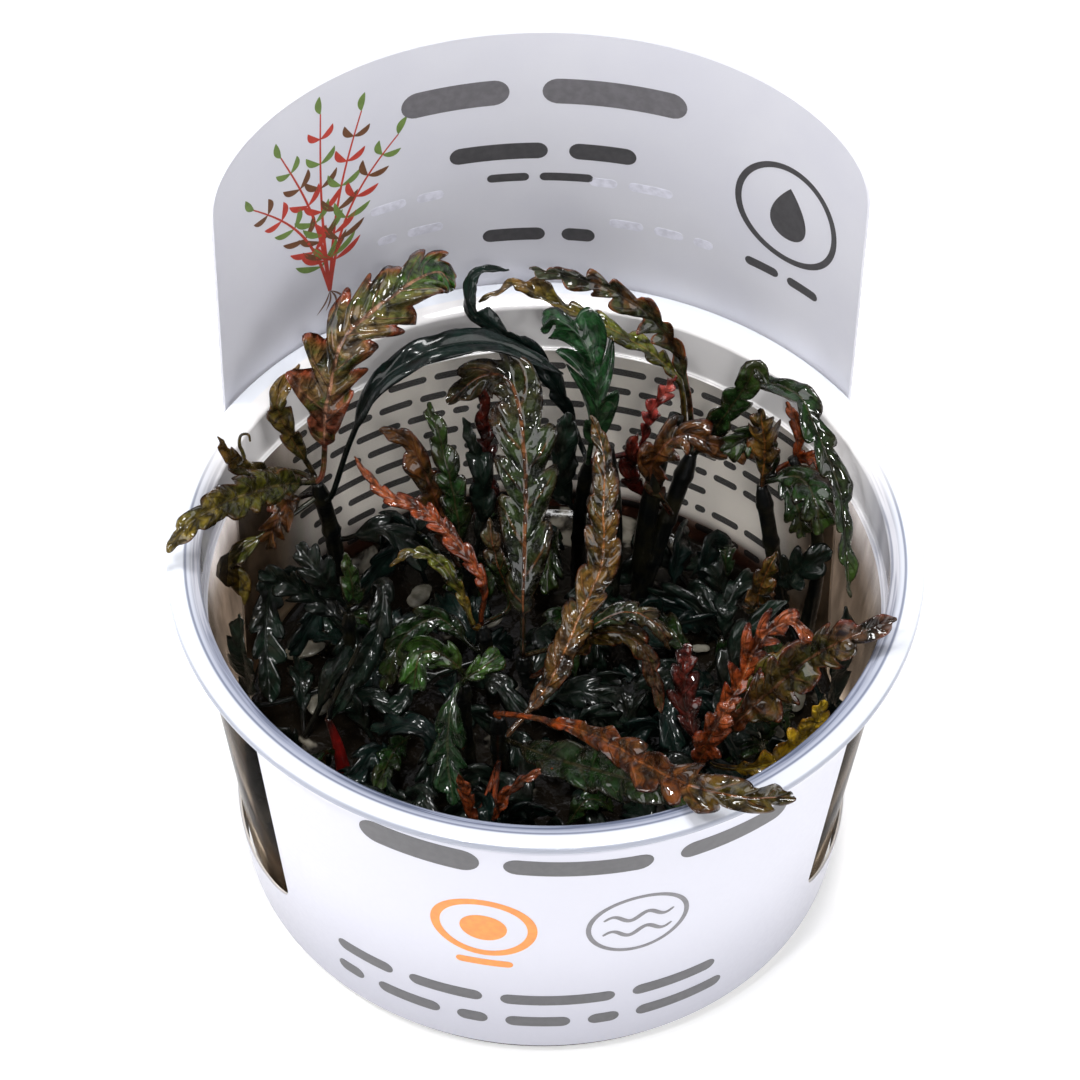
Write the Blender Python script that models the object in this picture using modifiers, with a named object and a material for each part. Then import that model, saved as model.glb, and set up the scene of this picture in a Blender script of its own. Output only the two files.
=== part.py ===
"""Tissue culture cup of a lobed-leaf aquarium plant: a clear cup, its wrap label with a tall back card,
the growth gel, the plants' stems and their leaves.

Units are metres, +Z is up. The origin is the middle of the cup's underside and -Y is the cup's front.
"""

import math
from typing import NamedTuple

import bmesh
import bpy
import numpy as np
from mathutils import Vector

MM = 0.001

# Cup: a thin round tub with a flat rim and a stacking ledge inside.
RIM_RADIUS = 52.0 * MM
RIM_HEIGHT = 58.8 * MM
RIM_THICKNESS = 1.2 * MM
RIM_FLAT_INNER_RADIUS = 48.3 * MM
COLLAR_INNER_RADIUS = 47.3 * MM
LEDGE_HEIGHT = 50.0 * MM
LEDGE_WALL = 1.4 * MM
BASE_RADIUS = 42.4 * MM
WALL_FLARE = 0.1143
WALL_THICKNESS = 1.0 * MM
FLOOR_THICKNESS = 1.2 * MM
FLOOR_CORNER = 1.5 * MM
BASE_ROUND = 1.0 * MM
COLLAR_DEPTH = 1.6 * MM
EDGE_ROUND = 0.4 * MM
CUP_STEPS = 48

# Label: one die-cut sheet wrapped round the cup. It is low at both sides, where the clear wall shows,
# and at the back it passes outside the rim and stands up as a card.
LABEL_THICKNESS = 0.4 * MM
LABEL_GAP = 0.4 * MM
LABEL_BOTTOM = 1.9 * MM
LABEL_TURN = math.radians(3.0)
FRONT_TOP = 56.8 * MM
CARD_RADIUS = 52.5 * MM
CARD_TOP = 106.0 * MM
CARD_SHOULDER = 94.0 * MM
CARD_CORNER_POWER = 3.2
CARD_FLARE_ANGLE = 57.6
BACK_BLEND = (85.0, 115.0)

# Columns of one half of the label, as angles in degrees. The front and its rounded corner are counted
# from the front, with the drop below the front's top edge in mm. The side cut-out has its height in mm.
# The card's columns are counted from the back.
FRONT_COLUMNS = ((0, 0), (6, 0), (12, 0), (18, 0), (24, 0), (30, 0), (36, 0), (42, 0), (48, 0),
                 (51.5, 0.6), (53.4, 2.6))
WINDOW_COLUMNS = ((54.2, 15.5), (59, 12), (66, 9), (75, 7.2), (85, 6.6), (95, 7.2), (103, 9.5), (109, 15),
                  (114, 25), (118.5, 38), (122.4, 57))
CARD_COLUMNS = (57.2, 56.2, 54.6, 52.6, 49.5, 44, 38, 31, 24, 18, 12, 6, 0)

# Growth gel in the lower part of the cup, and the clearance between pieces that rest on each other.
GEL_TOP = 20.0 * MM
REST_GAP = 0.35 * MM

# Stems: round, with few sides because they are thin.
STEM_POINTS = 6
STEM_BEVEL = 2

# Leaves: a flat blade that starts just off its stem. Stalk and bay widths are shares of the full width,
# and the two powers set how soon the blade widens and how blunt its ends are.
LEAF_THICKNESS = 0.5 * MM
LEAF_START = 2.2 * MM
STALK_WIDTH = 0.22
BAY_WIDTH = 0.62
WIDEST_POWER = 0.75
BLUNT_POWER = 0.6
FACING = Vector((0.0, -0.67, 0.74))
PATH_SAMPLES = 200


class Leaf(NamedTuple):
    """One leaf: width in mm, turn about its midrib in degrees, lobes a side, finish, midrib in mm."""

    width: float
    turn: float
    lobes: int
    finish: str
    midrib: list


class Plant(NamedTuple):
    """One plantlet: stem radius in mm, the stem's middle line in mm from the gel up, and its leaves."""

    radius: float
    stem: list
    leaves: list


PLANTS = {
    "left": Plant(1.4, [(-30, 23, 20), (-31, 24, 33), (-33, 24, 45)], [
        Leaf(9.5, 10, 7, "bronze", [(-32, 24, 48), (-31, 25, 61), (-28, 29, 70), (-21, 33, 75),
                                    (-16, 39, 73), (-14, 40, 69)]),
        Leaf(4.0, 0, 3, "olive", [(-34, 25, 47), (-37, 24, 56), (-38, 24, 62), (-35, 26, 67)]),
        Leaf(6.5, 15, 6, "lime", [(-34, 23, 46), (-38, 14, 55), (-43, 5, 62), (-48, -2, 65), (-52, -6, 62)]),
        Leaf(5.0, 0, 4, "bronze", [(-35, 24, 42), (-38, 19, 44), (-40, 16, 39)]),
        Leaf(3.5, -20, 3, "olive", [(-36, 25, 46), (-42, 17, 55), (-44, 12, 63), (-45, 9, 70)]),
        Leaf(4.6, 35, 4, "deep", [(-31, 23, 43), (-28, 25, 53), (-24, 26, 63), (-17, 28, 68),
                                  (-8, 32, 66), (2, 33, 59)]),
        Leaf(5.5, 20, 3, "deep", [(-29, 24, 33), (-23, 23, 36), (-17, 21, 30)]),
    ]),
    "low_left": Plant(1.1, [(-28, 6, 20), (-28, 8, 28), (-28, 9, 34)], [
        Leaf(6.0, -15, 3, "deep", [(-29, 10, 35), (-32, 9, 42), (-35, 12, 45)]),
        Leaf(5.5, 10, 4, "deep", [(-29, 10, 31), (-35, 12, 35), (-41, 13, 38)]),
        Leaf(5.0, 20, 4, "deep", [(-26, 10, 35), (-23, 8, 41), (-24, 2, 36), (-30, -5, 27)]),
        Leaf(4.0, -10, 3, "green", [(-28, 8, 36), (-27, 5, 43), (-28, 6, 50)]),
        Leaf(6.5, 25, 5, "deep", [(-33, 21, 27), (-39, 15, 33), (-40, 8, 30), (-39, 0, 24)]),
    ]),
    "mid_left": Plant(1.2, [(-7, 6, 20), (-8, 6, 29), (-9, 7, 34)], [
        Leaf(3.4, 0, 8, "orange", [(-9, 7, 36), (-9, 8, 43), (-16, 13, 50), (-23, 14, 54), (-27, 17, 58)]),
        Leaf(2.8, 0, 5, "yellow", [(-10, 6, 35), (-12, 8, 40), (-15, 10, 44), (-19, 10, 46), (-22, 9, 44)]),
        Leaf(5.5, 0, 4, "green", [(-10, 6, 30), (-15, 8, 34), (-20, 6, 32), (-23, 1, 26)]),
    ]),
    "mid_back": Plant(1.2, [(-10, 22, 20), (-11, 21, 27), (-11, 20, 33)], [
        Leaf(4.5, -10, 5, "red", [(-10, 22, 33), (-9, 27, 42), (-9, 31, 50), (-10, 33, 59)]),
        Leaf(5.6, 15, 4, "bronze", [(-13, 20, 33), (-16, 22, 45), (-20, 25, 53), (-24, 26, 54)]),
        Leaf(5.0, -15, 5, "green", [(-12, 19, 34), (-13, 20, 45), (-15, 23, 54), (-17, 26, 60)]),
        Leaf(4.2, 20, 4, "deep", [(-10, 20, 35), (-9, 22, 47), (-12, 26, 57)]),
    ]),
    "back": Plant(1.2, [(5, 30, 20), (5, 30, 33), (6, 30, 44)], [
        Leaf(4.4, 25, 5, "deep", [(5, 32, 45), (2, 34, 53), (-2, 35, 60), (-7, 35, 65), (-11, 36, 69),
                                  (-11, 38, 73), (-6, 39, 74)]),
        Leaf(9.0, 0, 4, "green", [(6, 29, 46), (7, 30, 57), (5, 32, 66), (1, 33, 70), (-1, 34, 67)]),
        Leaf(5.2, -20, 3, "green", [(4, 29, 35), (2, 28, 41), (2, 29, 47), (3, 31, 53)]),
    ]),
    "centre": Plant(1.4, [(1, 2, 20), (-2, 3, 27), (-3, 3, 32)], [
        Leaf(10.0, 0, 7, "green", [(-3, 3, 34), (-3, 10, 43), (-3, 19, 51), (-4, 26, 58), (-6, 30, 61),
                                   (-10, 31, 60), (-14, 30, 56)]),
        Leaf(4.4, -20, 5, "bronze", [(-1, 2, 29), (4, 2, 35), (9, 1, 40), (14, -1, 39), (17, -6, 31)]),
        Leaf(7.0, 15, 3, "deep", [(1, 1, 25), (5, -1, 29), (10, -2, 28), (15, -4, 24)]),
    ]),
    "front_left": Plant(1.2, [(-10, -9, 20), (-11, -8, 31), (-11, -8, 39)], [
        Leaf(6.5, 0, 3, "fresh", [(-11, -8, 41), (-14, -8, 45), (-17, -8, 45), (-18, -11, 41)]),
        Leaf(6.5, -10, 3, "fresh", [(-12, -10, 40), (-13, -14, 37), (-13, -17, 32), (-12, -21, 28)]),
    ]),
    "front": Plant(1.3, [(-5, -12, 20), (-6, -13, 31), (-6, -14, 39)], [
        Leaf(7.0, 0, 8, "orange", [(-6, -15, 41), (0, -20, 46), (8, -28, 52), (15, -38, 58), (21, -45, 63),
                                   (27, -47, 64), (32, -45, 62)]),
        Leaf(7.0, 10, 6, "green", [(-5, -14, 34), (2, -22, 40), (8, -28, 45), (14, -34, 50), (21, -41, 55)]),
        Leaf(6.0, 10, 8, "amber", [(-5, -11, 31), (1, -5, 36), (5, 2, 42), (8, 8, 47), (8, 14, 52),
                                   (8, 20, 56), (6, 24, 60)]),
    ]),
    "right": Plant(1.5, [(14, 24, 20), (17, 27, 32), (21, 32, 44)], [
        Leaf(5.5, 25, 7, "olive", [(21, 33, 46), (20, 34, 55), (18, 35, 62), (14, 35, 69), (7, 36, 74),
                                   (-3, 36, 77)]),
        Leaf(4.0, -25, 7, "lime", [(20, 33, 45), (19, 36, 54), (15, 36, 60), (9, 37, 64), (1, 39, 67),
                                   (-5, 41, 69), (-10, 39, 67)]),
        Leaf(5.0, 0, 3, "green", [(22, 31, 46), (26, 29, 57), (28, 28, 63), (29, 28, 66), (31, 27, 64)]),
        Leaf(5.0, 20, 6, "green", [(23, 33, 45), (29, 32, 58), (35, 27, 62), (38, 21, 60), (41, 15, 55),
                                   (42, 9, 50), (43, 4, 45)]),
        Leaf(7.0, -10, 6, "bronze", [(18, 27, 37), (15, 28, 45), (19, 28, 52), (25, 27, 51), (31, 28, 48)]),
    ]),
    "far_right": Plant(1.3, [(35, 23, 22), (33, 23, 34), (31, 26, 44)], [
        Leaf(5.5, 15, 4, "amber", [(31, 25, 46), (31, 25, 53), (30, 26, 60)]),
        Leaf(6.5, 0, 3, "green", [(32, 25, 46), (36, 23, 49), (38, 18, 50), (39, 15, 46)]),
        Leaf(5.5, -15, 4, "green", [(33, 26, 46), (36, 22, 44), (37, 20, 40)]),
        Leaf(7.0, 20, 3, "deep", [(34, 21, 28), (37, 18, 35), (41, 17, 40)]),
        Leaf(5.0, 0, 5, "amber", [(33, 21, 25), (31, 15, 30), (31, 13, 37), (33, 14, 43)]),
    ]),
    "front_right": Plant(1.4, [(23, -11, 20), (23, -12, 28), (23, -14, 33)], [
        Leaf(8.0, 0, 7, "bronze", [(24, -14, 34), (30, -14, 44), (36, -15, 54), (41, -17, 61),
                                   (47, -16, 64)]),
        Leaf(6.0, 15, 6, "orange", [(23, -12, 35), (27, -9, 40), (30, -6, 47), (34, -6, 51), (37, -9, 50)]),
        Leaf(6.0, -15, 6, "yellow", [(25, -14, 29), (31, -17, 33), (35, -19, 40), (37, -20, 46),
                                     (38, -20, 51)]),
        Leaf(5.5, 20, 4, "deep", [(25, -10, 27), (26, -3, 31), (28, 2, 38), (34, 4, 44)]),
        Leaf(5.5, 0, 4, "red", [(22, -10, 28), (20, -5, 34), (20, -1, 40)]),
    ]),
}

FINISHES = {
    "cup": ((0.86, 0.88, 0.90), 0.25),
    "label": ((0.88, 0.88, 0.90), 0.45),
    "gel": ((0.55, 0.52, 0.44), 0.15),
    "stem": ((0.03, 0.03, 0.02), 0.30),
    "deep": ((0.02, 0.07, 0.05), 0.25),
    "green": ((0.06, 0.15, 0.04), 0.25),
    "fresh": ((0.12, 0.30, 0.05), 0.25),
    "lime": ((0.22, 0.25, 0.04), 0.25),
    "olive": ((0.12, 0.12, 0.03), 0.25),
    "bronze": ((0.16, 0.08, 0.05), 0.25),
    "amber": ((0.28, 0.15, 0.05), 0.25),
    "orange": ((0.45, 0.15, 0.05), 0.25),
    "yellow": ((0.50, 0.33, 0.04), 0.25),
    "red": ((0.16, 0.02, 0.02), 0.25),
}


def clear_scene():
    """Remove every object, so that the model starts from nothing."""
    for obj in list(bpy.data.objects):
        bpy.data.objects.remove(obj, do_unlink=True)


def material(name):
    """Principled material of one finish, made once and shared."""
    found = bpy.data.materials.get(name)
    if found:
        return found
    colour, roughness = FINISHES[name]
    made = bpy.data.materials.new(name)
    made.use_nodes = True
    shader = made.node_tree.nodes["Principled BSDF"]
    shader.inputs["Base Color"].default_value = (*colour, 1.0)
    shader.inputs["Roughness"].default_value = roughness
    shader.inputs["Metallic"].default_value = 0.0
    return made


def add_object(name, data, finish, collection):
    """New object in the collection, with its material."""
    obj = bpy.data.objects.new(name, data)
    collection.objects.link(obj)
    data.materials.append(material(finish))
    return obj


def shade(mesh, angle=40):
    """Smooth shading with edges kept sharp past the angle in degrees."""
    mesh.shade_smooth()
    mesh.set_sharp_from_angle(angle=math.radians(angle))


def wall_radius(height):
    """Outer radius of the cup's conical wall at a height."""
    return BASE_RADIUS + WALL_FLARE * height


def cup_profile():
    """Half section: middle of the floor, up the inside, over the rim and down the outside to the middle."""
    underside = RIM_HEIGHT - RIM_THICKNESS
    corner_top = FLOOR_THICKNESS + FLOOR_CORNER
    return [
        (0.0, FLOOR_THICKNESS),
        (wall_radius(0.0) - WALL_THICKNESS - FLOOR_CORNER, FLOOR_THICKNESS),
        (wall_radius(corner_top) - WALL_THICKNESS, corner_top),
        (wall_radius(LEDGE_HEIGHT) - LEDGE_WALL, LEDGE_HEIGHT),
        (COLLAR_INNER_RADIUS, LEDGE_HEIGHT + EDGE_ROUND),
        (COLLAR_INNER_RADIUS, RIM_HEIGHT - COLLAR_DEPTH),
        (COLLAR_INNER_RADIUS + EDGE_ROUND, RIM_HEIGHT - EDGE_ROUND),
        (RIM_FLAT_INNER_RADIUS, RIM_HEIGHT),
        (RIM_RADIUS - EDGE_ROUND, RIM_HEIGHT),
        (RIM_RADIUS, RIM_HEIGHT - EDGE_ROUND),
        (RIM_RADIUS, underside + EDGE_ROUND),
        (RIM_RADIUS - EDGE_ROUND, underside),
        (wall_radius(underside), underside),
        (wall_radius(BASE_ROUND), BASE_ROUND),
        (wall_radius(0.0) - BASE_ROUND, 0.0),
        (0.0, 0.0),
    ]


def make_cup(collection):
    """The cup, its half section turned about the upright axis."""
    mesh = bpy.data.meshes.new("cup")
    points = [(radius, 0.0, height) for radius, height in cup_profile()]
    edges = [(i, i + 1) for i in range(len(points) - 1)]
    mesh.from_pydata(points, edges, [])
    cup = add_object("cup", mesh, "cup", collection)
    screw = cup.modifiers.new("Turn", "SCREW")
    screw.steps = CUP_STEPS
    screw.render_steps = CUP_STEPS
    screw.use_merge_vertices = True
    screw.merge_threshold = 0.00001
    screw.use_smooth_shade = True
    return cup


def card_top(angle):
    """Height of the card's edge at an angle in degrees from the back: a flat arch with round corners."""
    share = min(abs(angle) / CARD_FLARE_ANGLE, 1.0)
    bow = (1.0 - share**CARD_CORNER_POWER) ** (1.0 / CARD_CORNER_POWER)
    return CARD_SHOULDER + (CARD_TOP - CARD_SHOULDER) * bow


def label_outline():
    """Columns of half the label from front to back: (angle in degrees, height of the top edge)."""
    front = [(angle, FRONT_TOP - drop * MM) for angle, drop in FRONT_COLUMNS]
    window = [(angle, height * MM) for angle, height in WINDOW_COLUMNS]
    card = [(180 - angle, card_top(angle)) for angle in CARD_COLUMNS]
    return front + window + card


def label_radius(angle, height):
    """Inner radius of the label: on the cup's cone in front, and leaning out to clear the rim behind."""
    front = wall_radius(height) + LABEL_GAP
    lean = (CARD_RADIUS - BASE_RADIUS - LABEL_GAP) / (RIM_HEIGHT - RIM_THICKNESS)
    back = min(BASE_RADIUS + LABEL_GAP + lean * height, CARD_RADIUS)
    start, end = BACK_BLEND
    share = min(max((angle - start) / (end - start), 0.0), 1.0)
    return front + (back - front) * share * share * (3 - 2 * share)


def label_heights(angle, top):
    """Heights of one column's rows: at the rim on the card, near the top beside it, even elsewhere."""
    if top > CARD_SHOULDER:
        return [LABEL_BOTTOM, RIM_HEIGHT - RIM_THICKNESS, (RIM_HEIGHT + CARD_SHOULDER) / 2, top]
    if angle > BACK_BLEND[1]:
        return [LABEL_BOTTOM, top - 2 * LABEL_THICKNESS, top - LABEL_THICKNESS, top]
    return [LABEL_BOTTOM + (top - LABEL_BOTTOM) * row / 3 for row in range(4)]


def make_label(collection):
    """The wrap label: a ring of columns round the cup, thickened outwards."""
    half = label_outline()
    outline = half + [(360 - angle, top) for angle, top in reversed(half[1:-1])]
    bm = bmesh.new()
    columns = []
    for angle, top in outline:
        turn = math.radians(angle) + LABEL_TURN
        from_front = min(angle, 360 - angle)
        column = []
        for height in label_heights(from_front, top):
            radius = label_radius(from_front, height)
            column.append(bm.verts.new((radius * math.sin(turn), -radius * math.cos(turn), height)))
        columns.append(column)
    for near, far in zip(columns, columns[1:] + columns[:1]):
        for row in range(len(near) - 1):
            bm.faces.new((near[row], far[row], far[row + 1], near[row + 1]))
    mesh = bpy.data.meshes.new("label")
    bm.to_mesh(mesh)
    bm.free()
    shade(mesh)
    label = add_object("label", mesh, "label", collection)
    wall = label.modifiers.new("Sheet", "SOLIDIFY")
    wall.thickness = LABEL_THICKNESS
    wall.offset = 1.0
    return label


def make_gel(collection):
    """The puck of growth gel, a little clear of the cup's wall and floor."""
    bottom = FLOOR_THICKNESS + FLOOR_CORNER + REST_GAP
    clearance = WALL_THICKNESS + 2.0 * REST_GAP
    bm = bmesh.new()
    bmesh.ops.create_cone(
        bm,
        cap_ends=True,
        segments=CUP_STEPS,
        radius1=wall_radius(bottom) - clearance,
        radius2=wall_radius(GEL_TOP) - clearance,
        depth=GEL_TOP - bottom,
    )
    bmesh.ops.translate(bm, verts=bm.verts, vec=(0, 0, (GEL_TOP + bottom) / 2))
    mesh = bpy.data.meshes.new("gel")
    bm.to_mesh(mesh)
    bm.free()
    shade(mesh)
    return add_object("gel", mesh, "gel", collection)


def smooth_path(points, count):
    """Evenly spaced points on a Catmull-Rom curve through the given points, and the curve's length."""
    knots = np.asarray(points, float) * MM
    padded = np.vstack([2 * knots[0] - knots[1], knots, 2 * knots[-1] - knots[-2]])
    share = np.linspace(0, len(knots) - 1, PATH_SAMPLES)
    span = np.minimum(share.astype(int), len(knots) - 2)
    t = (share - span)[:, None]
    a, b, c, d = (padded[span + i] for i in range(4))
    curve = 0.5 * (2 * b + (c - a) * t + (2 * a - 5 * b + 4 * c - d) * t**2 + (3 * b - a - 3 * c + d) * t**3)
    run = np.concatenate([[0.0], np.cumsum(np.linalg.norm(np.diff(curve, axis=0), axis=1))])
    even = np.linspace(0, run[-1], count)
    return np.stack([np.interp(even, run, curve[:, axis]) for axis in range(3)], axis=1), run[-1]


def make_stem(name, plant, collection):
    """A round stem that rises from just over the gel."""
    path, _ = smooth_path(plant.stem, STEM_POINTS)
    path[:, 2] = np.maximum(path[:, 2], GEL_TOP + REST_GAP + plant.radius * MM / 2)
    curve = bpy.data.curves.new(name, "CURVE")
    curve.dimensions = "3D"
    curve.bevel_depth = plant.radius * MM
    curve.bevel_resolution = STEM_BEVEL
    curve.use_fill_caps = True
    spline = curve.splines.new("POLY")
    spline.points.add(len(path) - 1)
    for point, place in zip(spline.points, path):
        point.co = (*place, 1.0)
    spline.use_smooth = True
    return add_object(name, curve, "stem", collection)


def half_width(leaf, row, rows):
    """Half the blade's width at a row: a narrow stalk, a full middle, and a bay at every other row."""
    share = row / rows
    full = math.sin(math.pi * share**WIDEST_POWER) ** BLUNT_POWER if 0 < row < rows else 0.0
    bay = BAY_WIDTH if row % 2 else 1.0
    return leaf.width * MM / 2 * max(full, STALK_WIDTH) * bay


def make_leaf(name, leaf, collection):
    """A lobed blade along its midrib: a grid bent to the midrib's curve and thickened both ways."""
    rows = 2 * leaf.lobes
    path, length = smooth_path(leaf.midrib, PATH_SAMPLES)
    start = LEAF_START / length
    bm = bmesh.new()
    bmesh.ops.create_grid(bm, x_segments=rows, y_segments=2, size=0.5)
    for vert in bm.verts:
        row = round((vert.co.x + 0.5) * rows)
        share = start + (1 - start) * row / rows
        place = share * (len(path) - 1)
        low = min(int(place), len(path) - 2)
        point = Vector(path[low]).lerp(Vector(path[low + 1]), place - low)
        ahead = Vector(path[min(low + 2, len(path) - 1)]) - Vector(path[max(low - 1, 0)])
        across = ahead.cross(FACING).normalized()
        up = across.cross(ahead).normalized()
        turn = math.radians(leaf.turn)
        side = across * math.cos(turn) + up * math.sin(turn)
        vert.co = point + side * (2 * vert.co.y * half_width(leaf, row, rows))
    mesh = bpy.data.meshes.new(name)
    bm.to_mesh(mesh)
    bm.free()
    shade(mesh)
    blade = add_object(name, mesh, leaf.finish, collection)
    wall = blade.modifiers.new("Blade", "SOLIDIFY")
    wall.thickness = LEAF_THICKNESS
    wall.offset = 0.0
    return blade


def main():
    """Clear the scene and build every piece."""
    clear_scene()
    collection = bpy.data.collections.new("tissue_culture_cup")
    bpy.context.scene.collection.children.link(collection)
    make_cup(collection)
    make_label(collection)
    make_gel(collection)
    for clump, plant in PLANTS.items():
        make_stem(f"stem_{clump}", plant, collection)
        for number, leaf in enumerate(plant.leaves, start=1):
            make_leaf(f"leaf_{clump}_{number}", leaf, collection)


main()
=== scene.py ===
"""Looks of a tissue culture cup of a lobed-leaf water plant: the clear tub, its wrap label with a
tall card and plain print, the growth gel with its roots, and the wet plants.

Units are metres, +Z is up and -Y is the cup's front. Tables of places and sizes are in millimetres.
"""
import logging
import math
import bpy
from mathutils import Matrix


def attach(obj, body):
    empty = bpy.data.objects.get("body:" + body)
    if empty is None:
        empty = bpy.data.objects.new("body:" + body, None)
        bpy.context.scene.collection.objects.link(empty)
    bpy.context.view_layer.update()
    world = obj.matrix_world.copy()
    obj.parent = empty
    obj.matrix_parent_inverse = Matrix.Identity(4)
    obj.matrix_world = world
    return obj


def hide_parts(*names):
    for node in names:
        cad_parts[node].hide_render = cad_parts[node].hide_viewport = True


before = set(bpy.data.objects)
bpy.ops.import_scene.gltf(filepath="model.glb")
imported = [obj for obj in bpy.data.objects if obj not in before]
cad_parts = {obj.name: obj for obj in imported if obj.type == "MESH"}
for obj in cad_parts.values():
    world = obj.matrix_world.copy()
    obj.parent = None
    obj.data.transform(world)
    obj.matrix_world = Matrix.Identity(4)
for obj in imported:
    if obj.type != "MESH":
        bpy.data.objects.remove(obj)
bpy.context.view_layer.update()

import zlib
from dataclasses import dataclass, field
from enum import Enum
from functools import cache

import bpy
import numpy as np
from mathutils import Matrix, Vector
from numpy.typing import NDArray

Array = NDArray[np.float64]
Colour = tuple[float, float, float]
Point = tuple[float, float, float]
Faces = list[tuple[int, ...]]

MM = 0.001
BODY = "root"
TO_CAMERA = np.array([0.0, -0.67, 0.74])
log = logging.getLogger("culture_cup")


# Mesh and path helpers


def unit(vectors: Array) -> Array:
    """Each vector of the last axis, scaled to length one."""
    return vectors / np.maximum(np.linalg.norm(vectors, axis=-1, keepdims=True), 1e-12)


def smooth_step(values: Array, low: float, high: float) -> Array:
    """Rises from 0 at low to 1 at high, as 3x^2 - 2x^3."""
    share = np.clip((values - low) / (high - low), 0.0, 1.0)
    return share * share * (3.0 - 2.0 * share)


def circle(sides: int) -> Array:
    """Angles of points evenly spaced round a circle, in radians."""
    return np.linspace(0, 2 * np.pi, sides, endpoint=False)


def ring_faces(rows: int, columns: int) -> Faces:
    """Faces of a tube, with a face over each of its ends.

    Args:
        rows: number of rings.
        columns: number of points on each.

    Returns:
        The faces, pointing outwards when the rings run anticlockwise seen from the last ring.
    """
    row = np.arange(rows - 1)[:, None] * columns
    low = (row + np.arange(columns)).ravel()
    next_low = (row + np.roll(np.arange(columns), -1)).ravel()
    quads = np.stack([low, next_low, next_low + columns, low + columns], axis=1)
    start = tuple(range(columns))[::-1]
    end = tuple(range((rows - 1) * columns, rows * columns))
    return [*map(tuple, quads.tolist()), start, end]


def loop_faces(rows: int, columns: int) -> Faces:
    """Faces of a grid that closes both ways, as on a ring with a hole.

    Args:
        rows: number of rows, the last one joined to the first.
        columns: number of points in each, the last one joined to the first.

    Returns:
        The faces, row by row.
    """
    row = np.arange(rows)[:, None] * columns
    column = np.arange(columns)
    next_row, next_column = np.roll(row, -1), np.roll(column, -1)
    corners = [row + column, row + next_column, next_row + next_column, next_row + column]
    return list(map(tuple, np.stack(corners, axis=-1).reshape(-1, 4).tolist()))


@dataclass
class Shape:
    """Points and faces of one mesh, with an optional value of three numbers at each point."""

    points: Array
    faces: Faces
    places: Array | None = None

    @staticmethod
    def rings(points: Array, places: Array | None = None, flip: bool = False) -> "Shape":
        """A closed tube.

        Args:
            points: one row for each ring.
            places: values to keep at the points, in the same layout.
            flip: whether the rings run clockwise seen from the last one.

        Returns:
            The tube, its faces pointing outwards.
        """
        faces = ring_faces(*points.shape[:2])
        if flip:
            faces = [face[::-1] for face in faces]
        kept = None if places is None else places.reshape(-1, 3)
        return Shape(points.reshape(-1, 3), faces, kept)

    @staticmethod
    def joined(shapes: list["Shape"]) -> "Shape":
        """Puts shapes side by side in one mesh.

        Args:
            shapes: the shapes, all with values at their points or all without.

        Returns:
            One shape that holds them all.
        """
        starts = np.cumsum([0] + [len(shape.points) for shape in shapes[:-1]])
        faces = [tuple(corner + start for corner in face)
                 for shape, start in zip(shapes, starts.tolist()) for face in shape.faces]
        kept = shapes[0].places is not None
        places = np.vstack([shape.places for shape in shapes]) if kept else None
        return Shape(np.vstack([shape.points for shape in shapes]), faces, places)


def add_piece(name: str, shape: Shape, material: bpy.types.Material,
              slot: str | None) -> bpy.types.Object:
    """Makes a mesh object at the origin, smooth shaded, and lets it ride on the body.

    Args:
        name: name of the object and its mesh.
        shape: points in metres, faces and the values that the material reads as "place".
        material: what it wears.
        slot: material slot of the record, or None for the stage.

    Returns:
        The new object.
    """
    mesh = bpy.data.meshes.new(name)
    mesh.from_pydata(shape.points, [], shape.faces)
    if shape.places is not None:
        attribute = mesh.attributes.new("place", "FLOAT_VECTOR", "POINT")
        attribute.data.foreach_set("vector", shape.places.astype(np.float32).ravel())
    mesh.shade_smooth()
    mesh.update()
    piece = bpy.data.objects.new(name, mesh)
    bpy.context.scene.collection.objects.link(piece)
    mesh.materials.append(material)
    if slot is not None:
        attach(piece, BODY)
    log.info("%s: %d points, %d faces", name, len(mesh.vertices), len(mesh.polygons))
    return piece


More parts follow.
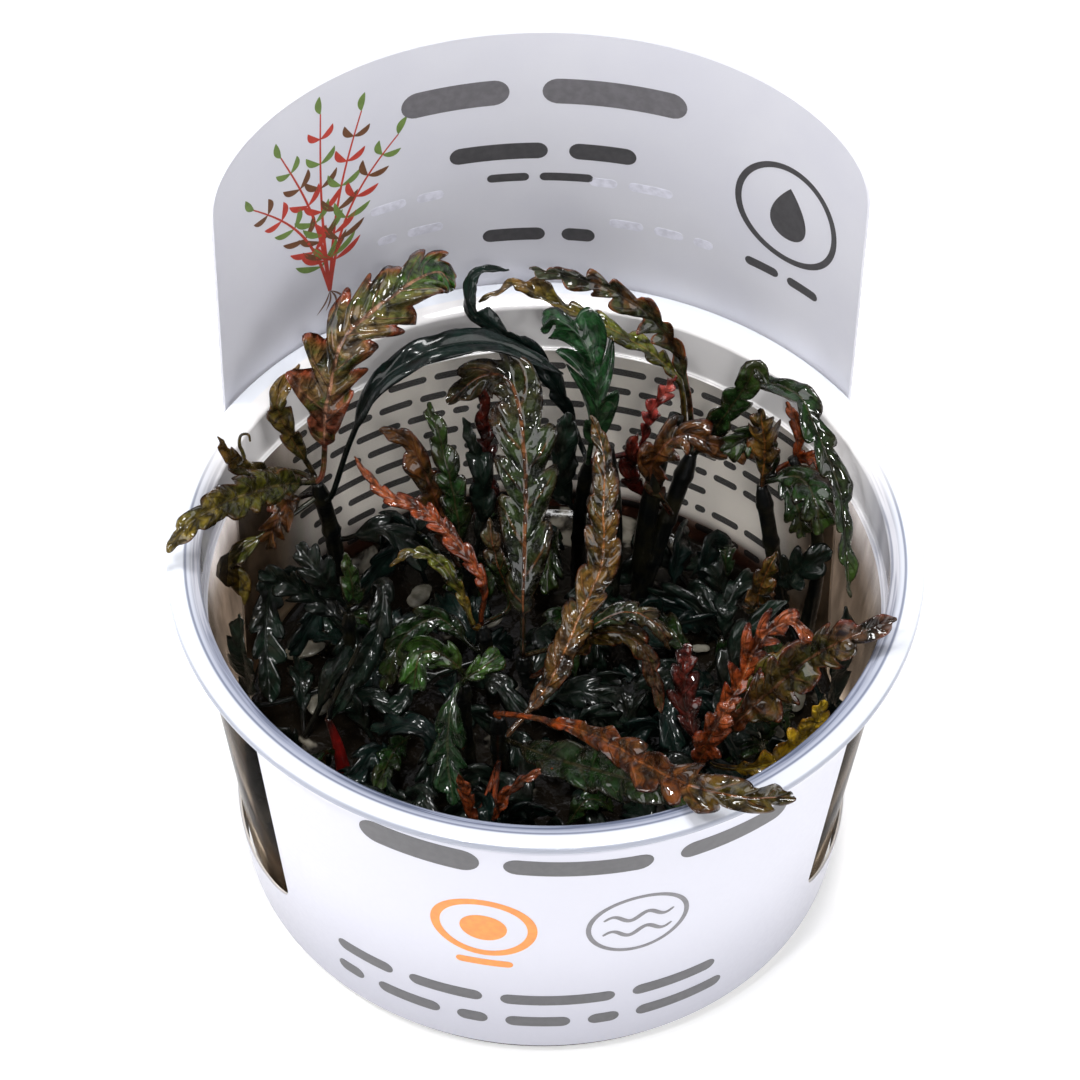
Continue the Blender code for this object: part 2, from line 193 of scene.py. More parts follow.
class Path:
    """A smooth line through points, read by its share of the length."""

    SAMPLES = 400
    SMOOTHED = 20

    def __init__(self, points: list[Point] | Array) -> None:
        """Runs a Catmull-Rom curve through the points and spaces it evenly by length.

        Args:
            points: two or more places in millimetres that the line passes through.
        """
        knots = np.asarray(points, float) * MM
        padded = np.vstack([2 * knots[0] - knots[1], knots, 2 * knots[-1] - knots[-2]])
        share = np.linspace(0, len(knots) - 1, self.SAMPLES)
        span = np.minimum(share.astype(int), len(knots) - 2)
        t = (share - span)[:, None]
        a, b, c, d = (padded[span + i] for i in range(4))
        curve = 0.5 * (2 * b + (c - a) * t + (2 * a - 5 * b + 4 * c - d) * t**2
                       + (3 * b - a - 3 * c + d) * t**3)
        steps = np.linalg.norm(np.diff(curve, axis=0), axis=1)
        run = np.concatenate([[0.0], np.cumsum(steps)])
        even = np.linspace(0, run[-1], self.SAMPLES)
        self.length = float(run[-1])
        self.line = np.stack([np.interp(even, run, curve[:, axis]) for axis in range(3)], axis=1)
        self.ahead = unit(np.gradient(self.line, axis=0))

    def read(self, values: Array, share: Array) -> Array:
        """Values kept at the samples, read between them in proportion, with the ends held.

        Args:
            values: one value for each sample.
            share: shares of the length.

        Returns:
            A value for each share.
        """
        spot = np.clip(share, 0.0, 1.0) * (self.SAMPLES - 1)
        low = np.minimum(spot.astype(int), self.SAMPLES - 2)
        rest = (spot - low)[..., None]
        return values[low] * (1 - rest) + values[low + 1] * rest

    def at(self, share: Array) -> Array:
        """Places at shares of the length. Past its ends the line runs on straight."""
        beyond = (share - np.clip(share, 0.0, 1.0))[..., None] * self.length
        return self.read(self.line, share) + self.read(self.ahead, share) * beyond

    def sides(self, turn: Array, towards: Array) -> tuple[Array, Array]:
        """Two directions square to the line at each sample.

        Args:
            turn: angle in radians at each sample by which both are turned about the line.
            towards: direction that the second one faces as nearly as it can.

        Returns:
            The direction to the side, and the one out of the face. The side is the line's direction
            crossed with towards, kept from flipping over and averaged along the line.
        """
        across = unit(np.cross(self.ahead, towards))
        signs = np.sign(np.einsum("ij,ij->i", across[1:], across[:-1]))
        across[1:] *= np.cumprod(np.where(signs == 0, 1.0, signs))[:, None]
        window = np.ones(2 * self.SMOOTHED + 1) / (2 * self.SMOOTHED + 1)
        padded = np.pad(across, ((self.SMOOTHED, self.SMOOTHED), (0, 0)), mode="edge")
        across = np.stack([np.convolve(column, window, "valid") for column in padded.T], axis=1)
        across = unit(across - self.ahead * np.einsum("ij,ij->i", across, self.ahead)[:, None])
        out = np.cross(across, self.ahead)
        cos, sin = np.cos(turn)[:, None], np.sin(turn)[:, None]
        return across * cos + out * sin, out * cos - across * sin


def tube(path: Path, radius: Array, sides: int) -> Shape:
    """A round tube along a path, each ring a circle square to it.

    Args:
        path: its middle line.
        radius: radius in metres at each ring, the rings evenly spaced.
        sides: number of points on a ring.

    Returns:
        The closed tube, with (share of the length, 0.1 to 0.5 round it, 0.75) at each point: the
        leaf look then shows its bare blade, between rib and margin and between two veins.
    """
    share = np.linspace(0, 1, len(radius))
    mean = np.abs(path.ahead).mean(axis=0)
    across, out = path.sides(np.zeros(Path.SAMPLES), np.eye(3)[int(np.argmin(mean))])
    angle = circle(sides)
    across, out = path.read(across, share)[:, None], path.read(out, share)[:, None]
    ring = across * np.cos(angle)[:, None] + out * np.sin(angle)[:, None]
    points = path.at(share)[:, None] + ring * radius[:, None, None]
    blade = 0.3 + 0.2 * np.sin(angle)
    places = np.stack(np.broadcast_arrays(share[:, None], blade, 0.75), axis=-1)
    return Shape.rings(points, places, flip=True)


def rounded(corners: list[tuple[float, float, float]], steps: int) -> Array:
    """A profile with round corners.

    Args:
        corners: (radius from the axis, height, rounding) of each corner, in millimetres.
        steps: number of pieces in each round corner.

    Returns:
        Points of the profile in metres. A corner becomes the curve that a quadratic Bezier draws
        from one side of it to the other, each end the rounding's length away.
    """
    places = np.array([corner[:2] for corner in corners], float)
    parts = [places[:1]]
    t = np.linspace(0, 1, steps + 1)[:, None]
    for before, corner, after, (_, _, rounding) in zip(places, places[1:], places[2:], corners[1:]):
        start = corner + unit(before - corner) * rounding
        end = corner + unit(after - corner) * rounding
        parts.append((1 - t) ** 2 * start + 2 * t * (1 - t) * corner + t**2 * end)
    parts.append(places[-1:])
    return np.vstack(parts) * MM


def about_axis(radius: Array, angle: Array, height: Array) -> Array:
    """Points (r cos a, r sin a, height) about the upright axis."""
    x, y = radius * np.cos(angle), radius * np.sin(angle)
    return np.stack(np.broadcast_arrays(x, y, height), axis=-1)


# Node graphs


@dataclass(frozen=True)
class Value:
    """A number, colour or vector that a graph works out, open to plain arithmetic."""

    graph: "Graph"
    socket: bpy.types.NodeSocket

    def __add__(self, other: "Value | float") -> "Value":
        """The sum."""
        return self.graph.math("ADD", self, other)

    def __sub__(self, other: "Value | float") -> "Value":
        """The difference."""
        return self.graph.math("SUBTRACT", self, other)

    def __mul__(self, other: "Value | float") -> "Value":
        """The product."""
        return self.graph.math("MULTIPLY", self, other)

    def __abs__(self) -> "Value":
        """The size without its sign."""
        return self.graph.math("ABSOLUTE", self)


Feed = Value | Colour | float


class Graph:
    """Adds nodes to a material's or a group's tree, in few words."""

    def __init__(self, tree: bpy.types.NodeTree) -> None:
        """Keeps the tree that the nodes go into."""
        self.tree = tree

    def feed(self, socket: bpy.types.NodeSocket, value: Feed) -> None:
        """Links a value to an input, or sets the input's own constant.

        Args:
            socket: the input.
            value: what it is fed with.
        """
        if isinstance(value, Value):
            self.tree.links.new(value.socket, socket)
        elif socket.type == "RGBA":
            socket.default_value = (*value, 1.0)
        else:
            socket.default_value = value

    def fill(self, node: bpy.types.Node, **inputs: Feed) -> None:
        """Feeds inputs of a node, each by its name with _ for a space."""
        for name, value in inputs.items():
            self.feed(node.inputs[name.replace("_", " ")], value)

    def node(self, kind: str, **inputs: Feed) -> bpy.types.Node:
        """Adds a node.

        Args:
            kind: its type's name after ShaderNode.
            inputs: what it is fed with, each by its name with _ for a space.

        Returns:
            The node.
        """
        node = self.tree.nodes.new("ShaderNode" + kind)
        self.fill(node, **inputs)
        return node

    def result(self, node: bpy.types.Node, output: str | int = 0) -> Value:
        """An output of a node."""
        return Value(self, node.outputs[output])

    def math(self, operation: str, first: Feed, second: Feed = 0.0) -> Value:
        """Adds one arithmetic step.

        Args:
            operation: Blender's name of it.
            first: its first number.
            second: its second number, where it takes two.

        Returns:
            What the step gives.
        """
        node = self.node("Math")
        node.operation = operation
        self.feed(node.inputs[0], first)
        self.feed(node.inputs[1], second)
        return self.result(node)

    def spread(self, value: Feed, low: Feed, high: Feed, start: Feed = 0.0,
               end: Feed = 1.0) -> Value:
        """Maps a value from one range to another by 3x^2 - 2x^3, held at both ends.

        Args:
            value: what is mapped.
            low: the value that becomes start.
            high: the value that becomes end. It may be less than low.
            start: what the range begins with.
            end: what the range ends with.

        Returns:
            The mapped value.
        """
        node = self.node("MapRange", Value=value, From_Min=low, From_Max=high, To_Min=start,
                         To_Max=end)
        node.interpolation_type = "SMOOTHSTEP"
        return self.result(node, "Result")

    def mix(self, factor: Feed, first: Feed, second: Feed, blend: str = "MIX") -> Value:
        """Mixes two colours.

        Args:
            factor: 0 for the first alone, 1 for the second or for the whole blend.
            first: the colour below.
            second: the colour above.
            blend: Blender's name of how the second goes over the first.

        Returns:
            The mixed colour.
        """
        node = self.node("Mix")
        node.data_type = "RGBA"
        node.blend_type = blend
        self.feed(node.inputs["Factor"], factor)
        self.feed(node.inputs[6], first)
        self.feed(node.inputs[7], second)
        return self.result(node, 2)

    def noise(self, vector: Value, scale: Feed, detail: Feed = 3.0,
              distortion: Feed = 0.0) -> Value:
        """Soft noise between 0 and 1, with its scale in bumps per unit of the vector."""
        node = self.node("TexNoise", Vector=vector, Scale=scale, Detail=detail,
                         Distortion=distortion)
        return self.result(node, "Fac")

    def parts(self, vector: Value) -> tuple[Value, ...]:
        """The three numbers of a vector."""
        node = self.node("SeparateXYZ", Vector=vector)
        return tuple(self.result(node, axis) for axis in range(3))

    def vector(self, x: Feed, y: Feed, z: Feed = 0.0) -> Value:
        """A vector of three numbers."""
        return self.result(self.node("CombineXYZ", X=x, Y=y, Z=z))

    def place(self) -> Value:
        """The "place" values that a piece keeps at its points."""
        node = self.node("Attribute")
        node.attribute_name = "place"
        return self.result(node, "Vector")

    def own_space(self) -> Value:
        """Object coordinates."""
        return self.result(self.node("TexCoord"), "Object")

    def bump(self, height: Value, strength: float, distance: float) -> Value:
        """The normal turned by a height, with the bump's strength and its depth in metres."""
        return self.result(self.node("Bump", Strength=strength, Distance=distance, Height=height))

    def group(self, tree: bpy.types.NodeTree, **inputs: Feed) -> dict[str, Value]:
        """Places a node group.

        Args:
            tree: the group's tree.
            inputs: what it is fed with, by name.

        Returns:
            Its outputs by name.
        """
        node = self.node("Group")
        node.node_tree = tree
        self.fill(node, **inputs)
        return {socket.name: Value(self, socket) for socket in node.outputs}

    def given(self) -> dict[str, Value]:
        """The inputs of the group whose tree this is, by name."""
        node = self.tree.nodes.new("NodeGroupInput")
        return {socket.name: Value(self, socket) for socket in node.outputs if socket.name}

    def give(self, **results: Value) -> None:
        """Hands results to the outputs of the group whose tree this is, by their names."""
        self.fill(self.tree.nodes.new("NodeGroupOutput"), **results)


def new_group(name: str, inputs: dict[str, str], outputs: dict[str, str]) -> Graph:
    """Makes an empty shader node group.

    Args:
        name: its name.
        inputs: kind of each input, Float, Color or Vector, by its name.
        outputs: kind of each output by its name.

    Returns:
        The graph of its tree.
    """
    tree = bpy.data.node_groups.new(name, "ShaderNodeTree")
    for way, sockets in (("INPUT", inputs), ("OUTPUT", outputs)):
        for socket, kind in sockets.items():
            tree.interface.new_socket(socket, in_out=way, socket_type="NodeSocket" + kind)
    return Graph(tree)


def new_material(name: str) -> tuple[bpy.types.Material, Graph, bpy.types.Node]:
    """Makes a material.

    Args:
        name: its name.

    Returns:
        The material, its graph and its Principled shader.
    """
    material = bpy.data.materials.new(name)
    material.use_nodes = True
    return material, Graph(material.node_tree), material.node_tree.nodes["Principled BSDF"]


# Finishes


@dataclass(frozen=True)
class LeafFinish:
    """Colours of one kind of leaf: along its length, at its margin, on its rib and in its patches.

    slot is its material in the record. silver is how much painted pale sheen it gets, patched how
    strongly the patch colour shows, relief how deep its crinkles are and how strongly the painted
    shade and highlight that follow them show, and wet the weight of its water coat.
    """

    slot: str
    base: Colour
    middle: Colour
    tip: Colour
    margin: Colour
    rib: Colour
    patch: Colour
    silver: float
    patched: float
    relief: float
    wet: float = 1.0


class Tint(Enum):
    """The leaf finishes, named by their colour."""

    # DEEP and TEAL are near black: dark foliage, darkened further as painted shade for the low
    # leaves inside the cup.
    DEEP = LeafFinish("leaf_deep", (0.0015, 0.002, 0.0015), (0.004, 0.009, 0.006),
                      (0.006, 0.015, 0.009), (0.001, 0.0015, 0.001), (0.006, 0.01, 0.006),
                      (0.005, 0.003, 0.002), 0.3, 0.6, 0.4, 0.6)
    TEAL = LeafFinish("leaf_deep", (0.0015, 0.003, 0.0025), (0.003, 0.01, 0.008),
                      (0.005, 0.014, 0.01), (0.001, 0.002, 0.002), (0.006, 0.01, 0.008),
                      (0.001, 0.002, 0.002), 0.2, 0.6, 0.35, 0.6)
    GREEN = LeafFinish("leaf_green", (0.004, 0.006, 0.002), (0.008, 0.027, 0.005),
                       (0.02, 0.04, 0.006), (0.012, 0.005, 0.002), (0.035, 0.028, 0.01),
                       (0.01, 0.006, 0.002), 0.5, 0.6, 0.8)
    MOSS = LeafFinish("leaf_green", (0.01, 0.009, 0.003), (0.014, 0.024, 0.005),
                      (0.05, 0.03, 0.012), (0.028, 0.009, 0.004), (0.15, 0.045, 0.014),
                      (0.006, 0.014, 0.003), 0.4, 0.6, 1.0)
    EMERALD = LeafFinish("leaf_green", (0.012, 0.026, 0.01), (0.010, 0.052, 0.014),
                         (0.014, 0.066, 0.018), (0.003, 0.012, 0.004), (0.03, 0.06, 0.03),
                         (0.003, 0.014, 0.005), 0.9, 0.6, 0.8)
    FRESH = LeafFinish("leaf_fresh", (0.022, 0.022, 0.004), (0.028, 0.07, 0.008),
                       (0.024, 0.072, 0.01), (0.006, 0.014, 0.002), (0.05, 0.03, 0.008),
                       (0.005, 0.016, 0.003), 0.6, 0.6, 0.8)
    FERN = LeafFinish("leaf_fresh", (0.012, 0.034, 0.007), (0.007, 0.026, 0.008),
                      (0.009, 0.034, 0.010), (0.002, 0.008, 0.002), (0.03, 0.035, 0.014),
                      (0.003, 0.012, 0.004), 1.0, 0.6, 0.8)
    LIME = LeafFinish("leaf_lime", (0.02, 0.024, 0.004), (0.048, 0.046, 0.004), (0.13, 0.09, 0.012),
                      (0.055, 0.018, 0.004), (0.1, 0.07, 0.02), (0.014, 0.022, 0.003), 0.6, 0.6,
                      1.0)
    CITRUS = LeafFinish("leaf_lime", (0.09, 0.045, 0.006), (0.09, 0.1, 0.01), (0.12, 0.06, 0.012),
                        (0.1, 0.035, 0.008), (0.18, 0.12, 0.03), (0.03, 0.036, 0.005), 0.6, 0.6,
                        1.0)
    OLIVE = LeafFinish("leaf_olive", (0.03, 0.02, 0.005), (0.085, 0.058, 0.011),
                       (0.13, 0.066, 0.012), (0.065, 0.014, 0.004), (0.12, 0.06, 0.02),
                       (0.01, 0.018, 0.003), 0.6, 0.6, 1.0)
    DUSK = LeafFinish("leaf_olive", (0.012, 0.014, 0.005), (0.03, 0.034, 0.012),
                      (0.026, 0.03, 0.016), (0.21, 0.045, 0.014), (0.05, 0.03, 0.015),
                      (0.08, 0.026, 0.007), 0.8, 0.7, 1.0)
    BRONZE = LeafFinish("leaf_bronze", (0.17, 0.042, 0.024), (0.12, 0.072, 0.024),
                        (0.024, 0.085, 0.008), (0.18, 0.024, 0.01), (0.36, 0.17, 0.11),
                        (0.03, 0.048, 0.006), 1.0, 0.8, 1.2)
    RUSSET = LeafFinish("leaf_bronze", (0.016, 0.005, 0.003), (0.065, 0.022, 0.004),
                        (0.095, 0.036, 0.008), (0.05, 0.007, 0.003), (0.1, 0.03, 0.012),
                        (0.01, 0.014, 0.003), 0.7, 0.6, 1.0)
    COPPER = LeafFinish("leaf_bronze", (0.06, 0.014, 0.003), (0.05, 0.032, 0.005),
                        (0.06, 0.026, 0.015), (0.09, 0.012, 0.004), (0.12, 0.045, 0.02),
                        (0.01, 0.018, 0.003), 0.6, 0.7, 1.1)
    AMBER = LeafFinish("leaf_amber", (0.05, 0.022, 0.009), (0.094, 0.046, 0.006),
                       (0.056, 0.032, 0.005), (0.050, 0.010, 0.002), (0.28, 0.10, 0.024),
                       (0.016, 0.018, 0.003), 0.6, 0.85, 1.1)
    ORANGE = LeafFinish("leaf_orange", (0.23, 0.036, 0.003), (0.10, 0.024, 0.004),
                        (0.048, 0.036, 0.004), (0.04, 0.007, 0.002), (0.2, 0.06, 0.012),
                        (0.03, 0.02, 0.004), 0.7, 0.6, 1.0)
    FLAME = LeafFinish("leaf_orange", (0.10, 0.016, 0.003), (0.19, 0.034, 0.007),
                       (0.22, 0.052, 0.017), (0.07, 0.007, 0.002), (0.24, 0.07, 0.02),
                       (0.05, 0.012, 0.004), 0.6, 0.6, 1.0)
    YELLOW = LeafFinish("leaf_yellow", (0.05, 0.024, 0.003), (0.38, 0.23, 0.010),
                        (0.42, 0.27, 0.013), (0.13, 0.04, 0.004), (0.45, 0.32, 0.04),
                        (0.22, 0.13, 0.006), 0.5, 0.6, 0.8)
    RED = LeafFinish("leaf_red", (0.008, 0.0015, 0.001), (0.05, 0.005, 0.003), (0.09, 0.011, 0.006),
                     (0.014, 0.0015, 0.001), (0.06, 0.012, 0.008), (0.008, 0.002, 0.001), 0.5, 0.6,
                     1.0)
    SCARLET = LeafFinish("leaf_red", (0.24, 0.008, 0.007), (0.17, 0.007, 0.006),
                         (0.02, 0.004, 0.003), (0.16, 0.006, 0.005), (0.26, 0.012, 0.01),
                         (0.08, 0.003, 0.003), 0.0, 0.3, 0.3)
    PINK = LeafFinish("leaf_red", (0.07, 0.008, 0.006), (0.19, 0.02, 0.016), (0.26, 0.04, 0.03),
                      (0.1, 0.009, 0.007), (0.28, 0.06, 0.045), (0.06, 0.007, 0.006), 0.4, 0.6, 1.0)


@cache
def mottle_group() -> bpy.types.NodeTree:
    """Builds the shader group for an uneven tone, once.

    Height is soft noise between 0 and 1, Mask that noise spread smoothly from Low to High, and
    Color goes with the mask from First to Second.

    Returns:
        The group's tree.
    """
    inputs = {"First": "Color", "Second": "Color"}
    inputs |= dict.fromkeys(("Scale", "Detail", "Distortion", "Low", "High"), "Float")
    graph = new_group("mottled tone", inputs,
                      {"Color": "Color", "Mask": "Float", "Height": "Float"})
    given = graph.given()
    space = graph.own_space()
    cloud = graph.noise(space, given["Scale"], given["Detail"], given["Distortion"])
    mask = graph.spread(cloud, given["Low"], given["High"])
    graph.give(Color=graph.mix(mask, given["First"], given["Second"]), Mask=mask, Height=cloud)
    return graph.tree


@cache
def grain_group() -> bpy.types.NodeTree:
    """Builds the shader group for a fine surface, once.

    Height is soft noise between 0 and 1, and Roughness goes with it from Smooth to Rough.

    Returns:
        The group's tree.
    """
    inputs = dict.fromkeys(("Scale", "Detail", "Smooth", "Rough"), "Float")
    graph = new_group("surface grain", inputs, {"Roughness": "Float", "Height": "Float"})
    given = graph.given()
    fine = graph.noise(graph.own_space(), given["Scale"], given["Detail"])
    graph.give(Roughness=graph.spread(fine, 0.3, 0.7, given["Smooth"], given["Rough"]), Height=fine)
    return graph.tree


def mottle(graph: Graph, scale: float, detail: float, span: tuple[float, float], first: Colour,
           second: Colour, distortion: float = 0.0) -> dict[str, Value]:
    """Places the mottled tone: its noise, the span that its mask rises over and two colours."""
    return graph.group(mottle_group(), Scale=scale, Detail=detail, Distortion=distortion,
                       Low=span[0], High=span[1], First=first, Second=second)


def grain(graph: Graph, scale: float, detail: float, smooth: float = 0.0,
          rough: float = 0.0) -> dict[str, Value]:
    """Places the surface grain: its noise, and the two ends of its roughness."""
    return graph.group(grain_group(), Scale=scale, Detail=detail, Smooth=smooth, Rough=rough)


@cache
def leaf_group() -> bpy.types.NodeTree:
    """Builds the shader group for wet leaves, once.

    It reads "place" as (share of the length, -1 to 1 across, lobe count so far) and gives colour,
    roughness and normal: three colours along the blade, patches, a margin, painted shade in the
    hollows between veins that slant forward into each lobe, a rib, a crinkled surface with painted
    shade in its hollows and painted highlight on its ridges, and a painted pale sheen.

    Returns:
        The group's tree.
    """
    inputs = dict.fromkeys(("Base", "Middle", "Tip", "Margin", "Rib", "Patch"), "Color")
    inputs |= dict.fromkeys(("Silver", "Patched", "Relief"), "Float")
    graph = new_group("wet leaf", inputs,
                      {"Color": "Color", "Roughness": "Float", "Normal": "Vector"})
    given = graph.given()
    along, across, lobe = graph.parts(graph.place())
    space = graph.own_space()
    wide = abs(across)

    wander = graph.noise(space, 180.0, 2.0) - 0.5
    reach = along + wander * 0.5
    colour = graph.mix(graph.spread(reach, 0.12, 0.45), given["Base"], given["Middle"])
    colour = graph.mix(graph.spread(reach, 0.55, 0.92), colour, given["Tip"])
    patches = graph.spread(graph.noise(space, 240.0, 4.0, 0.6), 0.48, 0.62)
    colour = graph.mix(patches * given["Patched"], colour, given["Patch"])
    margin = graph.spread(wide + wander * 0.6, 0.72, 1.02, 0.0, 0.85)
    colour = graph.mix(margin, colour, given["Margin"])

    slant = lobe - wide * 0.28
    nearness = abs(graph.math("FRACT", slant) - 0.5)
    # Painted shade: the colour is darkened in the hollows between the lobes.
    bay_shade = graph.spread(nearness, 0.24, 0.5) * graph.spread(wide, 0.05, 0.40)
    colour = graph.mix(bay_shade * 0.85, colour, (0.22, 0.20, 0.16), "MULTIPLY")
    vein = graph.spread(nearness, 0.07, 0.0) * graph.spread(wide, 0.92, 0.55)
    rib = graph.spread(wide, 0.11, 0.04)
    colour = graph.mix(vein * 0.35, colour, given["Rib"])
    colour = graph.mix(rib * 0.7, colour, given["Rib"])

    folds = graph.noise(space, 520.0, 3.0, 0.8)
    # Painted shade and highlight: the crinkle noise that raises the bump also darkens the colour in
    # its hollows and lightens it on its ridges, as much as Relief allows.
    shade = graph.mix(graph.spread(folds, 0.34, 0.64), (0.22, 0.20, 0.17), (1.48, 1.48, 1.42))
    colour = graph.mix(given["Relief"], colour, graph.mix(1.0, colour, shade, "MULTIPLY"))
    fine = graph.noise(space, 1500.0, 2.0)
    # Painted sheen: pale patches mixed into the colour stand in for highlights on the wet surface.
    film = graph.spread(graph.noise(space, 620.0, 3.0, 1.2), 0.58, 0.74)
    colour = graph.mix(film * given["Silver"] * 0.11, colour, (0.30, 0.27, 0.21))

    height = (folds + fine * 0.28 - (vein + rib) * 0.30) * given["Relief"]
    graph.give(Color=colour, Roughness=graph.spread(fine, 0.3, 0.7, 0.28, 0.45),
               Normal=graph.bump(height, 1.0, 0.0009))
    return graph.tree


@cache
def leaf_material(tint: Tint) -> bpy.types.Material:
    """The wet leaf material of a tint, made once: the less wet, the rougher its water coat.

    Args:
        tint: the leaf's colours.

    Returns:
        The material.
    """
    material, graph, shader = new_material("wet_" + tint.name.lower())
    finish = tint.value
    look = graph.group(leaf_group(), Base=finish.base, Middle=finish.middle, Tip=finish.tip,
                       Margin=finish.margin, Rib=finish.rib, Patch=finish.patch,
                       Silver=finish.silver, Patched=finish.patched, Relief=finish.relief)
    graph.fill(shader, Base_Color=look["Color"], Roughness=look["Roughness"], Normal=look["Normal"],
               Specular_IOR_Level=0.1, Coat_Weight=finish.wet,
               Coat_Roughness=0.22 - 0.17 * finish.wet, Coat_IOR=1.48)
    return material


@cache
def stem_material() -> bpy.types.Material:
    """Near-black wet stem with faint clouds of brown-green, made once.

    Returns:
        The material.
    """
    material, graph, shader = new_material("wet_stem")
    tone = mottle(graph, 300.0, 3.0, (0.4, 0.7), (0.0015, 0.002, 0.002), (0.010, 0.009, 0.004))
    graph.fill(shader, Base_Color=tone["Color"], Roughness=0.4, Specular_IOR_Level=0.1,
               Normal=graph.bump(grain(graph, 900.0, 3.0)["Height"], 0.4, 0.0004),
               Coat_Weight=0.9, Coat_Roughness=0.06, Coat_IOR=1.36)
    return material


def root_material() -> bpy.types.Material:
    """Fine wet roots, brown with paler lengths.

    Returns:
        The material.
    """
    material, graph, shader = new_material("wet_roots")
    tone = mottle(graph, 160.0, 2.0, (0.42, 0.62), (0.035, 0.024, 0.014), (0.26, 0.20, 0.12))
    graph.fill(shader, Base_Color=tone["Color"], Roughness=0.35, Coat_Weight=0.5,
               Coat_Roughness=0.1)
    return material


def clear_material() -> bpy.types.Material:
    """Clear moulded plastic, dark below about 22 mm between its sides.

    At both sides it has a brown tint in upright streaks, with painted shade standing in for the
    shaded inside seen through it: darker below 40 to 50 mm and darkest in front, lighter brown
    again low down by the gel. Its foot is dark. Light for shadows passes straight through.

    Returns:
        The material.
    """
    material, graph, shader = new_material("clear_plastic")
    x, y, height = graph.parts(graph.own_space())
    streaks = graph.noise(graph.vector(x * 3.0, y * 3.0, height), 60.0, 3.0)
    streaked_shade = graph.spread(streaks, 0.35, 0.65)
    # Painted shade: the sides' tint is pale high up, dark lower down and darkest in front, for the
    # shaded inside seen through the wall.
    high, low, ahead, gel = (graph.mix(streaked_shade, dark, pale) for dark, pale in (
        ((0.34, 0.30, 0.28), (0.62, 0.58, 0.56)),
        ((0.045, 0.032, 0.022), (0.17, 0.125, 0.09)),
        ((0.025, 0.019, 0.014), (0.085, 0.068, 0.053)),
        ((0.40, 0.30, 0.21), (0.75, 0.62, 0.47))))
    side_shade_tint = graph.mix(graph.spread(height, 0.050, 0.040), high, low)
    side_shade_tint = graph.mix(graph.spread(y, 0.006, -0.004), side_shade_tint, ahead)
    side_shade_tint = graph.mix(graph.spread(height, 0.023, 0.017), side_shade_tint, gel)
    # Between the sides it is dark below about 22 mm.
    below = graph.spread(height, 0.0235, 0.0215)
    clear = graph.mix(below, (0.96, 0.95, 0.94), (0.06, 0.026, 0.018))
    tone = graph.mix(graph.spread(abs(x), 0.030, 0.040), clear, side_shade_tint)
    tone = graph.mix(graph.spread(height, 0.0034, 0.0030), tone, (0.06, 0.042, 0.028))
    graph.fill(shader, Base_Color=tone, Roughness=0.06, IOR=1.006, Transmission_Weight=0.97,
               Normal=graph.bump(grain(graph, 90.0, 2.0)["Height"], 0.10, 0.001))
    through = graph.node("BsdfTransparent", Color=(0.75, 0.73, 0.70))
    shadow = graph.result(graph.node("LightPath"), "Is Shadow Ray")
    mixed = graph.node("MixShader")
    results = (shadow, graph.result(shader), graph.result(through))
    for socket, result in zip(mixed.inputs, results):
        graph.feed(socket, result)
    graph.fill(graph.tree.nodes["Material Output"], Surface=graph.result(mixed))
    return material


def rim_material() -> bpy.types.Material:
    """Milky white plastic of the collar and rim.

    The lip is painted as shade: dark blue-grey in front, lighter at the sides and pale at the back
    as painted light, streaked round, with a dark line where it meets the flat top. The flat top is
    painted greyer in front, darker still on its outer side there, as shade. Low on the collar's
    inside, except at the back, it is painted dark in streaks as shade.

    Returns:
        The material.
    """
    material, graph, shader = new_material("milky_plastic")
    x, y, height = graph.parts(graph.own_space())
    radius = graph.math("SQRT", x * x + y * y)
    front = graph.spread(y, 0.0, -0.030)
    outer = mottle(graph, 60.0, 2.0, (0.3, 0.7), (0.83, 0.86, 0.93), (0.86, 0.89, 0.95))

    edge = graph.spread(radius + outer["Height"] * 0.0004, 0.0484, 0.0492)
    rings = graph.noise(graph.vector(radius, x * 0.03, y * 0.03), 2600.0, 2.0)
    streak = graph.spread(rings, 0.35, 0.65)
    # Painted shade: the lip is darker in front than at the sides.
    side, ahead = (graph.mix(edge, graph.mix(streak, dark, pale), plain) for dark, pale, plain in (
        ((0.24, 0.25, 0.30), (0.55, 0.55, 0.60), (0.66, 0.68, 0.75)),
        ((0.10, 0.12, 0.19), (0.32, 0.35, 0.46), (0.44, 0.47, 0.58))))
    lip = graph.mix(front, side, ahead)
    # A dark line round the lip where it meets the flat top.
    edge_line = graph.spread(radius, 0.0491, 0.0493) * graph.spread(radius, 0.0497, 0.0495)
    lip = graph.mix(edge_line * 0.8, lip, (0.16, 0.18, 0.26))
    # Painted light: the lip is pale at the back.
    lip = graph.mix(graph.spread(y, 0.005, 0.025), lip, (0.93, 0.91, 0.91))

    # Painted shade: the flat top is greyer in front, and its outer side darker there.
    top = graph.mix(front, outer["Color"], (0.74, 0.76, 0.83))
    outer_side_shade = graph.spread(radius, 0.0516, 0.0519) * front
    top = graph.mix(outer_side_shade, top, (0.37, 0.39, 0.46))
    tone = graph.mix(graph.spread(radius, 0.0494, 0.0498), lip, top)

    streaks = graph.noise(graph.vector(x, y), 300.0, 2.0)
    streaked_shade = graph.mix(streaks, (0.03, 0.023, 0.017), (0.13, 0.105, 0.085))
    wall = graph.spread(radius, 0.0476, 0.0479) * graph.spread(height, 0.0521, 0.0515)
    # Painted shade: dark streaks low on the collar's inside, except at the back.
    tone = graph.mix(wall * graph.spread(y, 0.034, 0.028), tone, streaked_shade)
    graph.fill(shader, Base_Color=tone, Transmission_Weight=0.12, IOR=1.45,
               Roughness=grain(graph, 800.0, 2.0, 0.05, 0.08)["Roughness"])
    return material


